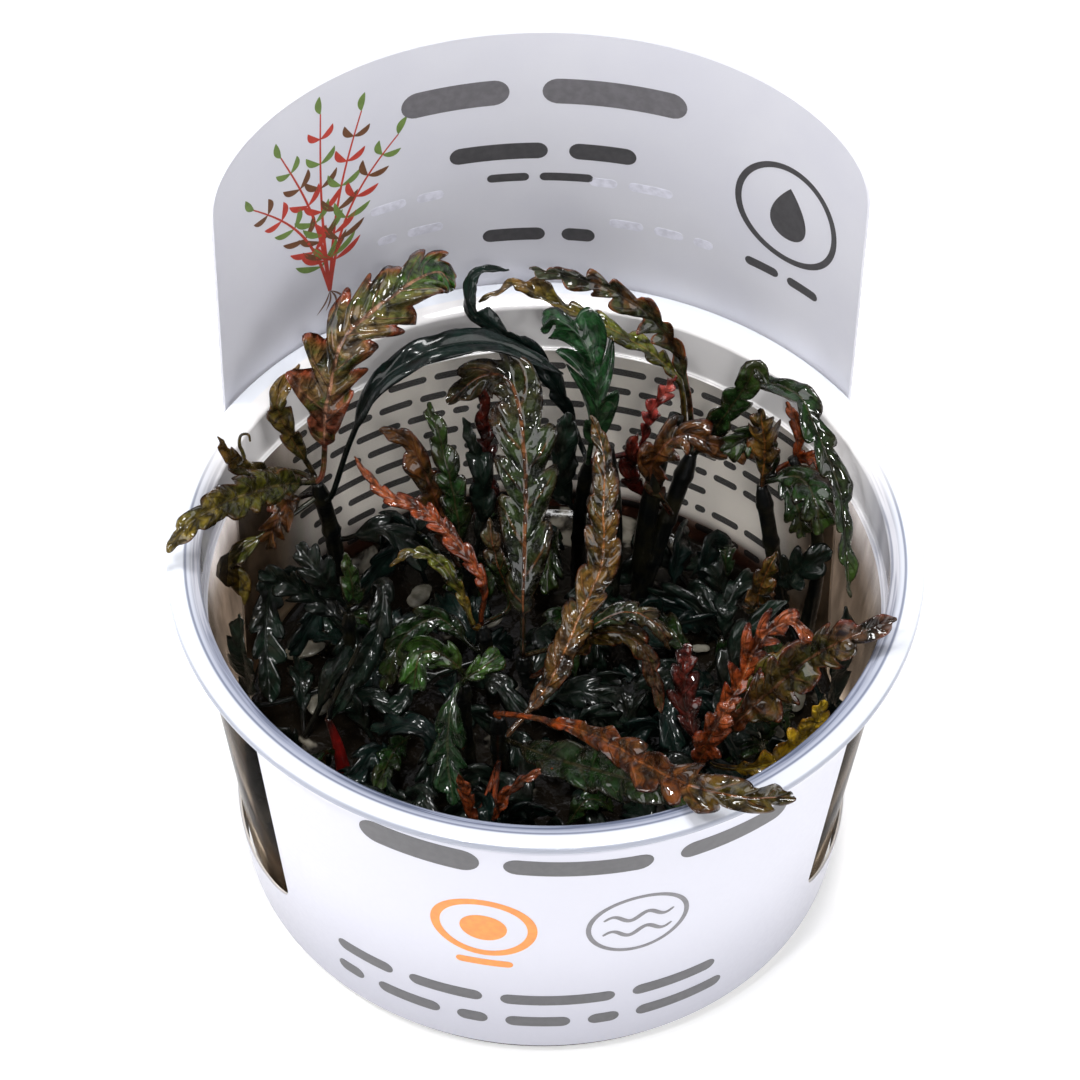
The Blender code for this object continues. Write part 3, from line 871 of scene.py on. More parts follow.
def label_material() -> bpy.types.Material:
    """White film, satin.

    Its inner face below the rim is painted warmer and brighter as light. In front it is painted
    greyer as shade, most at its foot, with a painted shadow under the rim along its top edge.

    Returns:
        The material.
    """
    material, graph, shader = new_material("label_film")
    inner, _, _ = graph.parts(graph.place())
    _, y, height = graph.parts(graph.own_space())
    front = graph.spread(y, 0.0, -0.030)
    film = mottle(graph, 70.0, 3.0, (0.3, 0.7), (0.655, 0.655, 0.72), (0.685, 0.685, 0.74))
    # Painted shade: the front is greyer, most at its foot.
    outside = graph.mix(front, film["Color"], (0.60, 0.60, 0.67))
    foot = graph.spread(height, 0.034, 0.002) * front
    outside = graph.mix(foot, outside, (0.44, 0.44, 0.50))
    # Painted shadow under the rim along the front's top edge.
    under_rim = graph.spread(height, 0.0538, 0.0545) * front
    outside = graph.mix(under_rim, outside, (0.42, 0.43, 0.50))
    # Painted light: the inner face low down is warmer and brighter than the sheet elsewhere.
    inside = graph.mix(film["Mask"], (0.90, 0.87, 0.82), (0.94, 0.91, 0.86))
    low = inner * graph.spread(height, 0.060, 0.050)
    fine = grain(graph, 1200.0, 2.0, 0.36, 0.44)
    graph.fill(shader, Base_Color=graph.mix(low, outside, inside), Roughness=fine["Roughness"],
               Normal=graph.bump(fine["Height"], 0.03, 0.0003))
    return material


class Ink(Enum):
    """Print colours of the label."""

    BLACK = (0.012, 0.011, 0.011)
    DARK = (0.060, 0.058, 0.062)
    GREY = (0.135, 0.130, 0.140)
    FAINT = (0.640, 0.640, 0.720)
    ORANGE = (0.680, 0.215, 0.020)
    GREEN = (0.130, 0.200, 0.050)
    BROWN = (0.130, 0.055, 0.025)
    RED = (0.420, 0.045, 0.030)


def ink_material(ink: Ink) -> bpy.types.Material:
    """Satin ink with a slightly uneven tone.

    Args:
        ink: its colour.

    Returns:
        The material.
    """
    material, graph, shader = new_material("ink_" + ink.name.lower())
    light = tuple(min(1.0, value * 1.25) for value in ink.value)
    tone = mottle(graph, 900.0, 3.0, (0.3, 0.7), ink.value, light)
    graph.fill(shader, Base_Color=tone["Color"], Roughness=0.4)
    return material


def gel_material() -> bpy.types.Material:
    """Amber-brown translucent jelly with cloudy patches and a wet, slightly uneven top, the top
    painted near black as shade and the sides lighter.

    Returns:
        The material.
    """
    material, graph, shader = new_material("growth_gel")
    _, _, height = graph.parts(graph.own_space())
    top = mottle(graph, 110.0, 4.0, (0.60, 0.68), (0.008, 0.006, 0.004), (0.22, 0.20, 0.16), 0.5)
    cloud = graph.spread(top["Height"], 0.40, 0.62)
    side = graph.mix(cloud, (0.13, 0.095, 0.06), (0.42, 0.34, 0.25))
    # Painted shade: the top is near black, the sides below it lighter.
    tone = graph.mix(graph.spread(height, 0.0150, 0.0175), side, top["Color"])
    graph.fill(shader, Base_Color=tone, Roughness=0.12, IOR=1.34, Transmission_Weight=0.25,
               Normal=graph.bump(grain(graph, 260.0, 3.0)["Height"], 0.35, 0.001))
    return material


def crumb_material() -> bpy.types.Material:
    """Pale set gel, cloudy and wet.

    Returns:
        The material.
    """
    material, graph, shader = new_material("pale_gel")
    tone = mottle(graph, 420.0, 3.0, (0.35, 0.65), (0.10, 0.092, 0.07), (0.24, 0.225, 0.185))
    graph.fill(shader, Base_Color=tone["Color"], Roughness=0.15, IOR=1.34, Transmission_Weight=0.2,
               Normal=graph.bump(tone["Height"], 0.4, 0.0006))
    return material


def floor_material() -> bpy.types.Material:
    """Plain pale studio floor.

    Returns:
        The material.
    """
    material, graph, shader = new_material("studio_floor")
    tone = mottle(graph, 3.0, 1.0, (0.0, 1.0), (0.94, 0.94, 0.95), (0.95, 0.95, 0.96))
    graph.fill(shader, Base_Color=tone["Color"], Roughness=0.9, Specular_IOR_Level=0.0,
               Emission_Color=(1.0, 1.0, 1.0), Emission_Strength=0.35)
    return material


# The cup


@dataclass
class Cup:
    """The round tub: a clear tapered wall, a stacking ledge, a milky collar and a wide flat rim."""

    base_radius: float = 42.4
    flare: float = 0.1143
    wall: float = 1.0
    floor: float = 1.2
    ledge_height: float = 50.0
    collar_inner: float = 47.3
    rim_inner: float = 49.5
    lip_drop: float = 0.8
    rim_radius: float = 52.0
    rim_height: float = 58.8
    rim_thickness: float = 1.2
    segments: int = 256
    corner_steps: int = 5

    def wall_radius(self, height: float | Array) -> float | Array:
        """Outer radius in millimetres of the tapered wall at a height in millimetres."""
        return self.base_radius + self.flare * height

    def profile(self) -> Array:
        """Half section: out along the underside, up, over the rim, and down inside.

        Returns:
            Its points (radius, height) in metres.
        """
        under = self.rim_height - self.rim_thickness
        ledge = self.ledge_height
        return rounded([
            (0.4, 0.5, 0.0),
            (30.0, 0.5, 0.6),
            (32.0, 0.0, 0.6),
            (self.wall_radius(0.0), 0.0, 1.4),
            (self.wall_radius(under), under, 0.3),
            (self.rim_radius, under, 0.5),
            (self.rim_radius, self.rim_height, 0.5),
            (self.rim_inner, self.rim_height, 0.5),
            (self.collar_inner, self.rim_height - self.lip_drop, 0.5),
            (self.collar_inner, ledge, 0.4),
            (self.wall_radius(ledge) - 1.5, ledge, 0.5),
            (self.wall_radius(self.floor + 2.0) - self.wall, self.floor + 2.0, 0.8),
            (self.wall_radius(0.0) - self.wall - 2.0, self.floor, 0.8),
            (0.4, self.floor, 0.0),
        ], self.corner_steps)

    def build(self) -> bpy.types.Object:
        """Turns the half section about the axis, with milky plastic above the ledge.

        Returns:
            The cup, which stands for the CAD cup.
        """
        profile = self.profile()
        shape = Shape.rings(about_axis(profile[:, :1], circle(self.segments), profile[:, 1:]))
        cup = add_piece("tub", shape, clear_material(), "cup")
        cup.data.materials.append(rim_material())
        heights = shape.points[:, 2]
        milky_from = (self.ledge_height - 0.3) * MM
        milky = [min(heights[corner] for corner in face) > milky_from for face in shape.faces]
        cup.data.polygons.foreach_set("material_index", np.array(milky, dtype=np.int32))
        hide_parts("cup")
        return cup


# The label and its print


@dataclass
class Label:
    """One sheet wrapped round the cup: low at both sides, with a tall arched card at the back.

    window is the top edge from the front part, down and up again to the card: (degrees from the
    front, height). The edge's points stand spacing apart, measured on edge_radius. crease is the
    least height of the rows above the rim's underside, so that none of them fall together.
    """

    cup: Cup
    thickness: float = 0.4
    gap: float = 0.4
    bottom: float = 2.5
    turn: float = 3.0
    front_top: float = 56.8
    front_half_angle: float = 54.0
    window: tuple[tuple[float, float], ...] = (
        (54.2, 15.5), (59, 13.4), (66, 11.6), (75, 10.0), (85, 9.2), (95, 9.6), (103, 11),
        (109, 15), (114, 25), (118.5, 38), (122.4, 57))
    card_radius: float = 52.42
    card_top: float = 106.0
    card_shoulder: float = 94.0
    card_power: float = 3.2
    card_half_angle: float = 57.6
    blend: tuple[float, float] = (85.0, 115.0)
    edge_radius: float = 48.0
    spacing: float = 0.6
    rounding: float = 1.8
    crease: float = 0.02
    rows: int = 9

    def radius(self, angle: Array, height: Array) -> Array:
        """Inner radius in millimetres: on the cup's cone in front, clear of the rim behind.

        Args:
            angle: degrees from the front, 0 to 180.
            height: millimetres above the underside.

        Returns:
            The cone's radius, blended by a smooth step between the two blend angles into a line
            that leans out to the card's radius at the rim's underside and stays there.
        """
        front = self.cup.wall_radius(height) + self.gap
        reach = self.cup.rim_height - self.cup.rim_thickness
        lean = (self.card_radius - self.cup.base_radius - self.gap) / reach
        back = np.minimum(self.cup.base_radius + self.gap + lean * height, self.card_radius)
        return front + (back - front) * smooth_step(angle, *self.blend)

    def top_edge(self) -> tuple[Array, Array]:
        """The whole top edge, its points evenly spaced and its corners eased.

        Returns:
            Degrees from the front, 0 to 360, and heights. The card's arch is
            shoulder + rise * (1 - x^p)^(1/p), x being the share of its half angle. A moving average
            along the edge rounds the corners.
        """
        front = [(0.0, self.front_top), (self.front_half_angle - 0.4, self.front_top)]
        lean = np.sin(np.linspace(np.pi / 2, 0, 60)) * self.card_half_angle
        rise = (1 - (lean / self.card_half_angle) ** self.card_power) ** (1 / self.card_power)
        arch = self.card_shoulder + (self.card_top - self.card_shoulder) * rise
        half = np.vstack([front, self.window, np.stack([180 - lean, arch], axis=1)])
        mirrored = half[-2::-1] * (-1, 1) + (360, 0)
        whole = np.vstack([half, mirrored])
        aside = np.diff(whole[:, 0]) * (math.radians(1) * self.edge_radius)
        run = np.concatenate([[0.0], np.cumsum(np.hypot(aside, np.diff(whole[:, 1])))])
        even = np.arange(0, run[-1], self.spacing)
        reach = int(self.rounding / self.spacing)
        kernel = np.ones(2 * reach + 1) / (2 * reach + 1)
        angle, top = (np.interp(even, run, values) for values in whole.T)
        angle = np.pad(angle, reach, mode="reflect", reflect_type="odd")
        top = np.pad(top, reach, mode="wrap")
        return np.convolve(angle, kernel, "valid"), np.convolve(top, kernel, "valid")

    def on_sheet(self, angle: Array, height: Array, lift: float) -> Array:
        """Places in metres on the sheet's inner face, lifted outwards by some millimetres.

        Args:
            angle: degrees from the sheet's own front line, 0 to 360.
            height: millimetres.
            lift: millimetres from the inner face, positive outwards.

        Returns:
            (r sin a, -r cos a, height), a being the angle plus the sheet's turn.
        """
        from_front = np.abs(180 - np.abs(180 - angle % 360))
        radius = self.radius(from_front, height) + lift
        bearing = np.radians(angle + self.turn)
        return np.stack([radius * np.sin(bearing), -radius * np.cos(bearing), height], axis=-1) * MM

    def build(self) -> bpy.types.Object:
        """Makes the sheet: each column of the edge runs up its inner face and down the outer one.

        Returns:
            The label, which stands for the CAD label.
        """
        angle, top = self.top_edge()
        under_rim = self.cup.rim_height - self.cup.rim_thickness
        share = np.linspace(0, 1, self.rows)[None]
        lower = share * (np.minimum(top, under_rim) - self.bottom)[:, None]
        lower = lower * (1 - self.crease / (under_rim - self.bottom)) + self.bottom
        upper = share[:, 1:] * np.maximum(top - under_rim, self.crease)[:, None]
        height = np.concatenate([lower, lower[:, -1:] + upper], axis=1)
        spread = np.broadcast_to(angle[:, None], height.shape)
        inner = self.on_sheet(spread, height, 0.0)
        outer = self.on_sheet(spread, height, self.thickness)[:, ::-1]
        points = np.concatenate([inner, outer], axis=1)
        places = np.zeros_like(points)
        places[:, :height.shape[1], 0] = 1.0
        faces = loop_faces(*points.shape[:2])
        shape = Shape(points.reshape(-1, 3), faces, places.reshape(-1, 3))
        label = add_piece("wrap_label", shape, label_material(), "label")
        label.data.set_sharp_from_angle(angle=math.radians(50))
        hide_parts("label")
        return label


class Panel(Enum):
    """A printed part of the label: its middle's angle, radius, and whether it is the outer face."""

    FRONT = (0.0, 46.5, True)
    CARD = (180.0, 52.4, False)
    INNER_BACK = (180.0, 47.5, False)


@dataclass
class Print:
    """Ink marks of the label, drawn as strokes of varying width on the unrolled panels.

    Places on a panel are (across from its middle line, height), in millimetres.
    """

    label: Label
    lift: float = 0.03
    strokes: dict[Ink, list[Shape]] = field(default_factory=dict)

    def stroke(self, panel: Panel, ink: Ink, line: Array, half_width: Array) -> None:
        """Adds one stroke: a band about a line, its two edges half a width to each side.

        Args:
            panel: part of the label that it is on.
            ink: its colour.
            line: places on the panel.
            half_width: half the width in millimetres at each place.
        """
        middle, radius, outside = panel.value
        ahead = unit(np.gradient(line, axis=0))
        normal = np.stack([-ahead[:, 1], ahead[:, 0]], axis=-1)
        columns = np.linspace(-1, 1, 3)[None, :, None]
        flat = line[:, None] + normal[:, None] * half_width[:, None, None] * columns
        sign, base = (1.0, self.label.thickness) if outside else (-1.0, 0.0)
        angle = middle + sign * np.degrees(flat[..., 0] / radius)
        low, high = (self.label.on_sheet(angle, flat[..., 1], level)
                     for level in (base, base + sign * self.lift))
        ring = np.concatenate([high, low[:, ::-1]], axis=1)
        self.strokes.setdefault(ink, []).append(Shape.rings(ring))

    def bar(self, panel: Panel, ink: Ink, start: float, end: float, height: float, thick: float,
            slope: float = 0.0) -> None:
        """Adds a bar with round ends.

        Args:
            panel: part of the label that it is on.
            ink: its colour.
            start: where it starts across.
            end: where it ends across.
            height: its height at the middle line.
            thick: its thickness.
            slope: how much it rises for each millimetre across.
        """
        share = 0.5 - 0.5 * np.cos(np.linspace(0, np.pi, 26))
        across = start + (end - start) * share
        edge = np.minimum(np.minimum(across - start, end - across) / (thick / 2), 1.0)
        width = thick / 2 * np.sqrt(np.maximum(1 - (1 - edge) ** 2, 1e-4))
        self.stroke(panel, ink, np.stack([across, height + slope * across], axis=1), width)

    def row(self, panel: Panel, ink: Ink, start: float, words: tuple[float, ...], height: float,
            thick: float, slope: float = 0.0) -> None:
        """Adds a row of bars, with gaps as wide as the bars are thick.

        Args:
            panel: part of the label that it is on.
            ink: its colour.
            start: where it starts across.
            words: the bars' lengths.
            height: its height at the middle line.
            thick: the bars' thickness.
            slope: how much it rises for each millimetre across.
        """
        across = start
        for word in words:
            self.bar(panel, ink, across, across + word, height, thick, slope)
            across += word + thick

    def ring(self, panel: Panel, ink: Ink, centre: Array, radius: float, thick: float) -> None:
        """A round outline."""
        angle = np.linspace(0, 2 * np.pi, 73)
        line = centre + radius * np.stack([np.cos(angle), np.sin(angle)], axis=1)
        self.stroke(panel, ink, line, np.full(len(angle), thick / 2))

    def disc(self, panel: Panel, ink: Ink, centre: Array, radius: float) -> None:
        """A filled circle."""
        self.bar(panel, ink, centre[0] - radius, centre[0] + radius, centre[1], 2 * radius)

    def wave(self, panel: Panel, ink: Ink, start: float, end: float, height: float, swing: float,
             thick: float) -> None:
        """Adds a wavy line with tapered ends, two waves of a sine long.

        Args:
            panel: part of the label that it is on.
            ink: its colour.
            start: where it starts across.
            end: where it ends across.
            height: the height that it swings about.
            swing: how far it swings to each side.
            thick: its thickness.
        """
        share = np.linspace(0, 1, 49)
        rise = swing * np.sin(4 * np.pi * share)
        line = np.stack([start + (end - start) * share, height + rise], axis=1)
        taper = np.maximum(np.sin(np.pi * share), 0.02) ** 0.25
        self.stroke(panel, ink, line, thick / 2 * taper)

    def drop(self, panel: Panel, ink: Ink, foot: Array, tall: float, wide: float) -> None:
        """Adds a filled drop.

        At a share s of its height it reaches 1.3 wide (1 - s) sqrt(s) to each side.

        Args:
            panel: part of the label that it is on.
            ink: its colour.
            foot: its lowest place.
            tall: its height.
            wide: its width.
        """
        share = (0.5 - 0.5 * np.cos(np.linspace(0, np.pi, 31))) * 0.998 + 0.001
        line = foot + np.stack([np.zeros_like(share), tall * share], axis=1)
        self.stroke(panel, ink, line, 1.3 * wide * (1 - share) * np.sqrt(share))

    def petal(self, panel: Panel, ink: Ink, foot: Array, tip: Array, width: float,
              bend: float) -> None:
        """Adds a plain leaf, its width and its bend both going with the sine of pi times the share.

        Args:
            panel: part of the label that it is on.
            ink: its colour.
            foot: where it starts.
            tip: where it ends.
            width: its greatest width.
            bend: how far its middle stands to one side.
        """
        share = np.linspace(0, 1, 17)[:, None]
        ahead = tip - foot
        aside = np.array([-ahead[1], ahead[0]]) / max(float(np.hypot(*ahead)), 1e-6)
        swell = np.sin(np.pi * share)
        half_width = width / 2 * np.maximum(swell[:, 0], 0.03) ** 0.8
        self.stroke(panel, ink, foot + ahead * share + aside * bend * swell, half_width)

    def sprigs(self) -> None:
        """A fan of sprigs with paired plain leaves, for the plant picture of such a card."""
        foot = np.array([-31.0, 66.0])
        fan = ((-13.0, 24.0, -2.5), (-7.5, 30.0, -1.5), (-0.5, 34.0, 0.6), (6.0, 31.5, 1.2),
               (11.5, 25.0, 2.5))
        for number, (across, rise, bend) in enumerate(fan):
            share = np.linspace(0, 1, 31)[:, None]
            lean = np.array([across, rise])
            aside = np.array([-lean[1], lean[0]]) / np.hypot(*lean)
            line = foot + lean * share + aside * bend * np.sin(np.pi * share)
            self.stroke(Panel.CARD, Ink.RED, line, 0.28 - 0.18 * share[:, 0])
            for pair in range(6, 30, 4):
                ahead = unit(line[pair] - line[pair - 2])
                length = 5.6 - 0.11 * pair
                ink = (Ink.BROWN, Ink.GREEN, Ink.RED)[(pair // 4 + number) % 3]
                for side in (-1.0, 1.0):
                    out = np.array([-ahead[1], ahead[0]]) * side
                    tip = line[pair] + out * length * 0.75 + ahead * length * 0.70
                    self.petal(Panel.CARD, ink, line[pair], tip, 1.05, 0.5 * side)
            self.petal(Panel.CARD, Ink.GREEN, line[-1], line[-1] + unit(lean) * 3.2, 1.1, 0.3)
        for across in (-2.4, -0.8, 1.0, 2.6):
            tip = foot + np.array([across, -3.6])
            self.petal(Panel.CARD, Ink.BROWN, foot, tip, 0.3, 0.4)

    def card_print(self) -> None:
        """The card: heading bars, smaller rows, pale rows, and a ring with a drop."""
        card = Panel.CARD
        for ink, start, words, height, thick in (
                (Ink.GREY, -19.0, (15.5, 20.5), 95.4, 4.6),
                (Ink.DARK, -12.0, (14.0, 9.6), 84.2, 3.0),
                (Ink.DARK, -6.6, (6.0, 7.6), 79.2, 1.5), (Ink.DARK, -7.2, (9.0, 4.8), 68.0, 2.4),
                (Ink.FAINT, 8.0, (4.0, 6.5), 78.6, 1.6), (Ink.FAINT, -24.0, (5.5, 4.0), 77.6, 1.6),
                (Ink.FAINT, 11.0, (5.0, 4.4, 3.0), 71.0, 1.6),
                (Ink.FAINT, -23.0, (3.0, 5.4), 71.4, 1.6)):
            self.row(card, ink, start, words, height, thick)
        centre = np.array([38.4, 83.6])
        self.ring(card, Ink.DARK, centre, 8.4, 1.0)
        self.drop(card, Ink.DARK, centre - (0.0, 4.6), 9.6, 6.2)
        self.row(card, Ink.DARK, 31.8, (5.6, 5.6), 71.4, 1.6)

    def front_print(self) -> None:
        """The front: a heading of bars, two round signs, and two rows of bars below."""
        front = Panel.FRONT
        slope = -0.045
        self.row(front, Ink.DARK, -26.0, (16.0,), 50.4, 5.0, slope)
        self.row(front, Ink.DARK, -7.0, (19.0, 16.0), 50.6, 3.6, slope)
        disc, waves = np.array([-9.8, 34.2]), np.array([11.0, 34.2])
        self.ring(front, Ink.ORANGE, disc, 6.6, 1.3)
        self.disc(front, Ink.ORANGE, disc, 3.2)
        self.row(front, Ink.ORANGE, -13.8, (8.0,), 25.0, 1.6)
        self.ring(front, Ink.GREY, waves, 6.8, 0.7)
        for height in (36.0, 32.2):
            self.wave(front, Ink.GREY, 6.2, 15.8, height, 0.8, 0.8)
        self.row(front, Ink.DARK, -33.4, (9.5, 11.0, 16.5, 13.0), 15.4, 2.6)
        self.row(front, Ink.DARK, -34.0, (4.6, 10.0, 4.6, 9.5, 4.6, 14.0), 9.4, 2.6)

    def back_print(self) -> None:
        """Rows of small print low on the back, seen through the clear wall, with uneven words."""
        random = np.random.default_rng(7)
        for height in np.arange(19.5, 50.0, 3.4):
            words = tuple(random.uniform(1.6, 8.0, 13).round(1).tolist())
            start = -39.0 + random.uniform(0, 3)
            self.row(Panel.INNER_BACK, Ink.BLACK, start, words, float(height), 1.15)

    def build(self) -> None:
        """Draws every panel and makes one piece for each ink."""
        self.sprigs()
        self.card_print()
        self.front_print()
        self.back_print()
        for ink, shapes in self.strokes.items():
            name = "print_" + ink.name.lower()
            piece = add_piece(name, Shape.joined(shapes), ink_material(ink), "label")
            piece.data.set_sharp_from_angle(angle=math.radians(30))


# Gel


@dataclass
class Gel:
    """The puck of growth gel, a low dome of ripples that climbs the wall a little, with crumbs.

    clearance is the cup's wall and a gap, and crumbs lists (x, y, half length) of each.
    """

    cup: Cup
    top: float = 20.0
    bottom: float = 3.05
    clearance: float = 1.7
    sink: float = 0.9
    rings: int = 40
    segments: int = 160
    ripples: int = 9
    ripple_height: float = 0.16
    ripple_rate: float = 0.35
    climb_width: float = 1.2
    crumbs: tuple[tuple[float, float, float], ...] = (
        (-35, 13, 2.6), (-32, 3.5, 3.0), (-18.5, 24, 2.4), (-31, 21, 1.8), (-24, 12, 1.6),
        (14, 18.5, 2.6), (15.6, 23, 1.6), (21.5, 22, 2.2), (23, 15, 1.4), (32.8, -1, 2.4),
        (37, 5.5, 1.8), (9.8, 5, 1.5), (2.4, 14, 1.8), (-8, 19, 1.6), (28, 9, 1.5))
    crumb_rings: int = 14
    crumb_sides: int = 20

    def build_crumbs(self) -> None:
        """Loose pale crumbs of gel between the leaves, one piece.

        Each is a sphere squeezed to 1 : 0.7 : 0.28, with its distance from the middle times 1 plus
        two seeded sines of the angle round it, then tilted, turned and set on the gel.
        """
        random = np.random.default_rng(11)
        down = np.linspace(0.04, np.pi - 0.04, self.crumb_rings)[:, None]
        around = circle(self.crumb_sides)[None]
        ball = about_axis(np.sin(down), around, np.cos(down)) * (1, 0.7, 0.28)
        shapes = []
        for x, y, size in self.crumbs:
            start, turn, tilt = random.uniform(0, 2 * np.pi, 3)
            lumps = 0.22 * np.sin(2 * around + start) + 0.05 * np.sin(5 * around + turn)
            points = ball * (1 + np.sin(down) * lumps)[..., None] * size
            points[..., 2] += 0.35 * np.sin(tilt) * points[..., 0]
            cos, sin = np.cos(turn), np.sin(turn)
            points = points @ np.array([[cos, sin, 0], [-sin, cos, 0], [0, 0, 1]])
            points = (points + (x, y, self.top + 0.25 * size)) * MM
            shapes.append(Shape.rings(points, flip=True))
        add_piece("gel_crumbs", Shape.joined(shapes), crumb_material(), "gel")

    def build(self) -> bpy.types.Object:
        """Makes the puck: its top is the level plus slow seeded sines plus a rise at the wall.

        Returns:
            The gel, which stands for the CAD gel.
        """
        random = np.random.default_rng(3)
        outer = self.cup.wall_radius(self.top) - self.clearance
        radius = np.sqrt(np.linspace(0.0004, 1, self.rings))[:, None] * outer
        angle = circle(self.segments)
        x, y = radius * np.cos(angle), radius * np.sin(angle)
        ripple = np.zeros_like(x)
        for _ in range(self.ripples):
            wave = random.uniform(-self.ripple_rate, self.ripple_rate, 2)
            swing = np.sin(wave[0] * x + wave[1] * y + random.uniform(0, 6.28))
            ripple += self.ripple_height * swing
        climb = self.sink * np.exp((radius - outer) / self.climb_width)
        height = self.top - self.sink + ripple * (1 - climb / self.sink) + climb
        top = np.stack([x, y, height], axis=-1)
        depth = np.linspace(0, 1, 8)[1:, None]
        side_height = top[-1, :, 2] * (1 - depth) + self.bottom * depth
        side = about_axis(self.cup.wall_radius(side_height) - self.clearance, angle, side_height)
        points = np.concatenate([top, side], axis=0) * MM
        gel = add_piece("growth_gel", Shape.rings(points, flip=True), gel_material(), "gel")
        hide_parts("gel")
        return gel


# Leaves and stems


@dataclass(frozen=True)
class Blade:
    """A leaf's grid before it is bent: rows along it, columns across it.

    share is that of the length, across -1 to 1, count the lobes passed so far on that side, half
    the half width in millimetres, lift how far the lobe's end curls up, and on_blade is 0 on the
    stalk and 1 on the blade.
    """

    share: Array
    across: Array
    count: Array
    half: Array
    lift: Array
    on_blade: Array


@dataclass
class Leaf:
    """One lobed leaf.

    The blade is a grid over its midrib. With u the share along the blade and f the fraction of the
    lobe count, its half width is
        width / 2 * sin(pi u^widest)^0.6 * (bay + (1 - bay) * |sin(pi f^1.35)|^slender),
    and a point across it also moves forward by sweep times its distance, so that lobes lean to the
    tip. Its height over the flat blade is the fold, a puff in each lobe, a curl of each lobe's end
    and seeded sine waves. WAVES gives their number, the reach of their seeded radians a millimetre
    along and across the blade, and their size.
    """

    width: float
    turn: float
    lobes: int
    tint: Tint
    midrib: list[Point]
    bay: float = 0.42
    slender: float = 0.55
    widest: float = 0.75
    sweep: float = 0.95
    fold: float = 0.22
    crinkle: float = 0.50
    curl: float = 0.38
    stalk: float = 0.10

    STALK_RADIUS = 0.42
    LONGEST_STALK = 0.45
    THICKNESS = 0.34
    SKEW = 1.35
    BLUNT_POWER = 0.6
    FIRST_LOBE = 0.2
    DRIFT = 0.16
    DRIFT_RATE = 0.41
    SIZE_SPREAD = 0.3
    PUFF = 0.16
    RIB_WIDTH = 0.45
    WAVES = ((5, (1.3, 1.2), 0.40), (9, (3.6, 2.6), 0.15))

    def blade(self, random: np.random.Generator, share: Array, across: Array,
              stalk: float) -> Blade:
        """The grid of the leaf, each side of the midrib with its own seeded lobes.

        The lobe count rises evenly along the blade, but for a slow sine that makes some lobes long
        and others short.

        Args:
            random: draws the lobes' offset, sizes and curls.
            share: share of the length at each row.
            across: -1 to 1 at each column.
            stalk: share of the length that is bare.

        Returns:
            The grid.
        """
        along = np.clip((share - stalk) / (1 - stalk), 0, 1)
        full = np.maximum(np.sin(np.pi * along**self.widest), 0.0) ** self.BLUNT_POWER
        offset = random.uniform(0.15, 0.5)
        phase = along * self.lobes * self.DRIFT_RATE + random.uniform(0, 1)
        count = along * self.lobes + self.DRIFT * np.sin(2 * np.pi * phase) + self.FIRST_LOBE
        count = count + np.array([[0.0], [offset]])
        sizes = 1 - random.uniform(0, self.SIZE_SPREAD, (2, self.lobes + 2))
        curls = random.normal(0, 1, (2, self.lobes + 2)) * self.curl
        number = np.clip(np.floor(count), 0, self.lobes + 1).astype(int)
        part = np.clip(count - np.floor(count), 0.0, 1.0)
        bulge = np.abs(np.sin(np.pi * part**self.SKEW)) ** self.slender
        bulge = bulge * np.take_along_axis(sizes, number, axis=1)
        half = self.width / 2 * full * (self.bay + (1 - self.bay) * bulge)
        taper = self.STALK_RADIUS * (1 - 0.75 * smooth_step(share, 0.8, 1.0))
        lift = np.take_along_axis(curls, number, axis=1) * bulge
        hand = np.where(across < 0, 0, 1)
        count, half, lift = (values[hand].T for values in (count, np.maximum(half, taper), lift))
        return Blade(share[:, None], across[None], count, half, lift,
                     smooth_step(along, 0.0, 0.12)[:, None])

    def relief(self, random: np.random.Generator, blade: Blade, length: float) -> Array:
        """Height in millimetres of each point over the flat blade.

        Args:
            random: draws the waves.
            blade: the grid.
            length: the leaf's length in millimetres.

        Returns:
            The fold, puffs, curls and waves, summed.
        """
        reach = np.abs(blade.across)
        part = blade.count - np.floor(blade.count)
        height = self.fold * reach * blade.half
        height = height + self.PUFF * blade.half * np.sin(np.pi * part) * np.sin(np.pi * reach)
        height = height + blade.lift * blade.half * reach**2
        along, aside = blade.share * length, blade.across * blade.half
        for waves, rate, size in self.WAVES:
            for _ in range(waves):
                wave = random.uniform(-1, 1, 2) * rate
                phase = wave[0] * along + wave[1] * aside + random.uniform(0, 6.3)
                height = height + self.crinkle * size * np.sin(phase) * (0.35 + 0.65 * reach)
        return height * blade.on_blade

    def shape(self, name: str, foot: Array, rows_a_lobe: int = 14, columns: int = 18) -> Shape:
        """The leaf as a closed blade with a top and an under face.

        Args:
            name: seeds its random shape.
            foot: where its stalk leaves the stem, in millimetres.
            rows_a_lobe: rows of points to each lobe.
            columns: spaces between points across each face.

        Returns:
            Points, faces, and (share, across, lobe count) at each point.
        """
        random = np.random.default_rng(zlib.crc32(name.encode()))
        knots = np.asarray(self.midrib, float)
        path = Path(np.vstack([foot, knots]))
        samples = np.linspace(0, 1, Path.SAMPLES)
        wobble = random.uniform(-0.22, 0.22)
        wobble = wobble * np.sin(2 * np.pi * (samples * 1.3 + random.uniform(0, 1)))
        side, out = path.sides(math.radians(self.turn) + wobble, TO_CAMERA)

        gap = float(np.linalg.norm(knots[0] - foot)) * MM / path.length
        stalk = min(self.LONGEST_STALK, self.stalk + gap)
        length = path.length / MM
        share = np.linspace(0, 1, rows_a_lobe * self.lobes + 10)
        blade = self.blade(random, share, np.linspace(-1, 1, columns + 1), stalk)
        height = self.relief(random, blade, length)

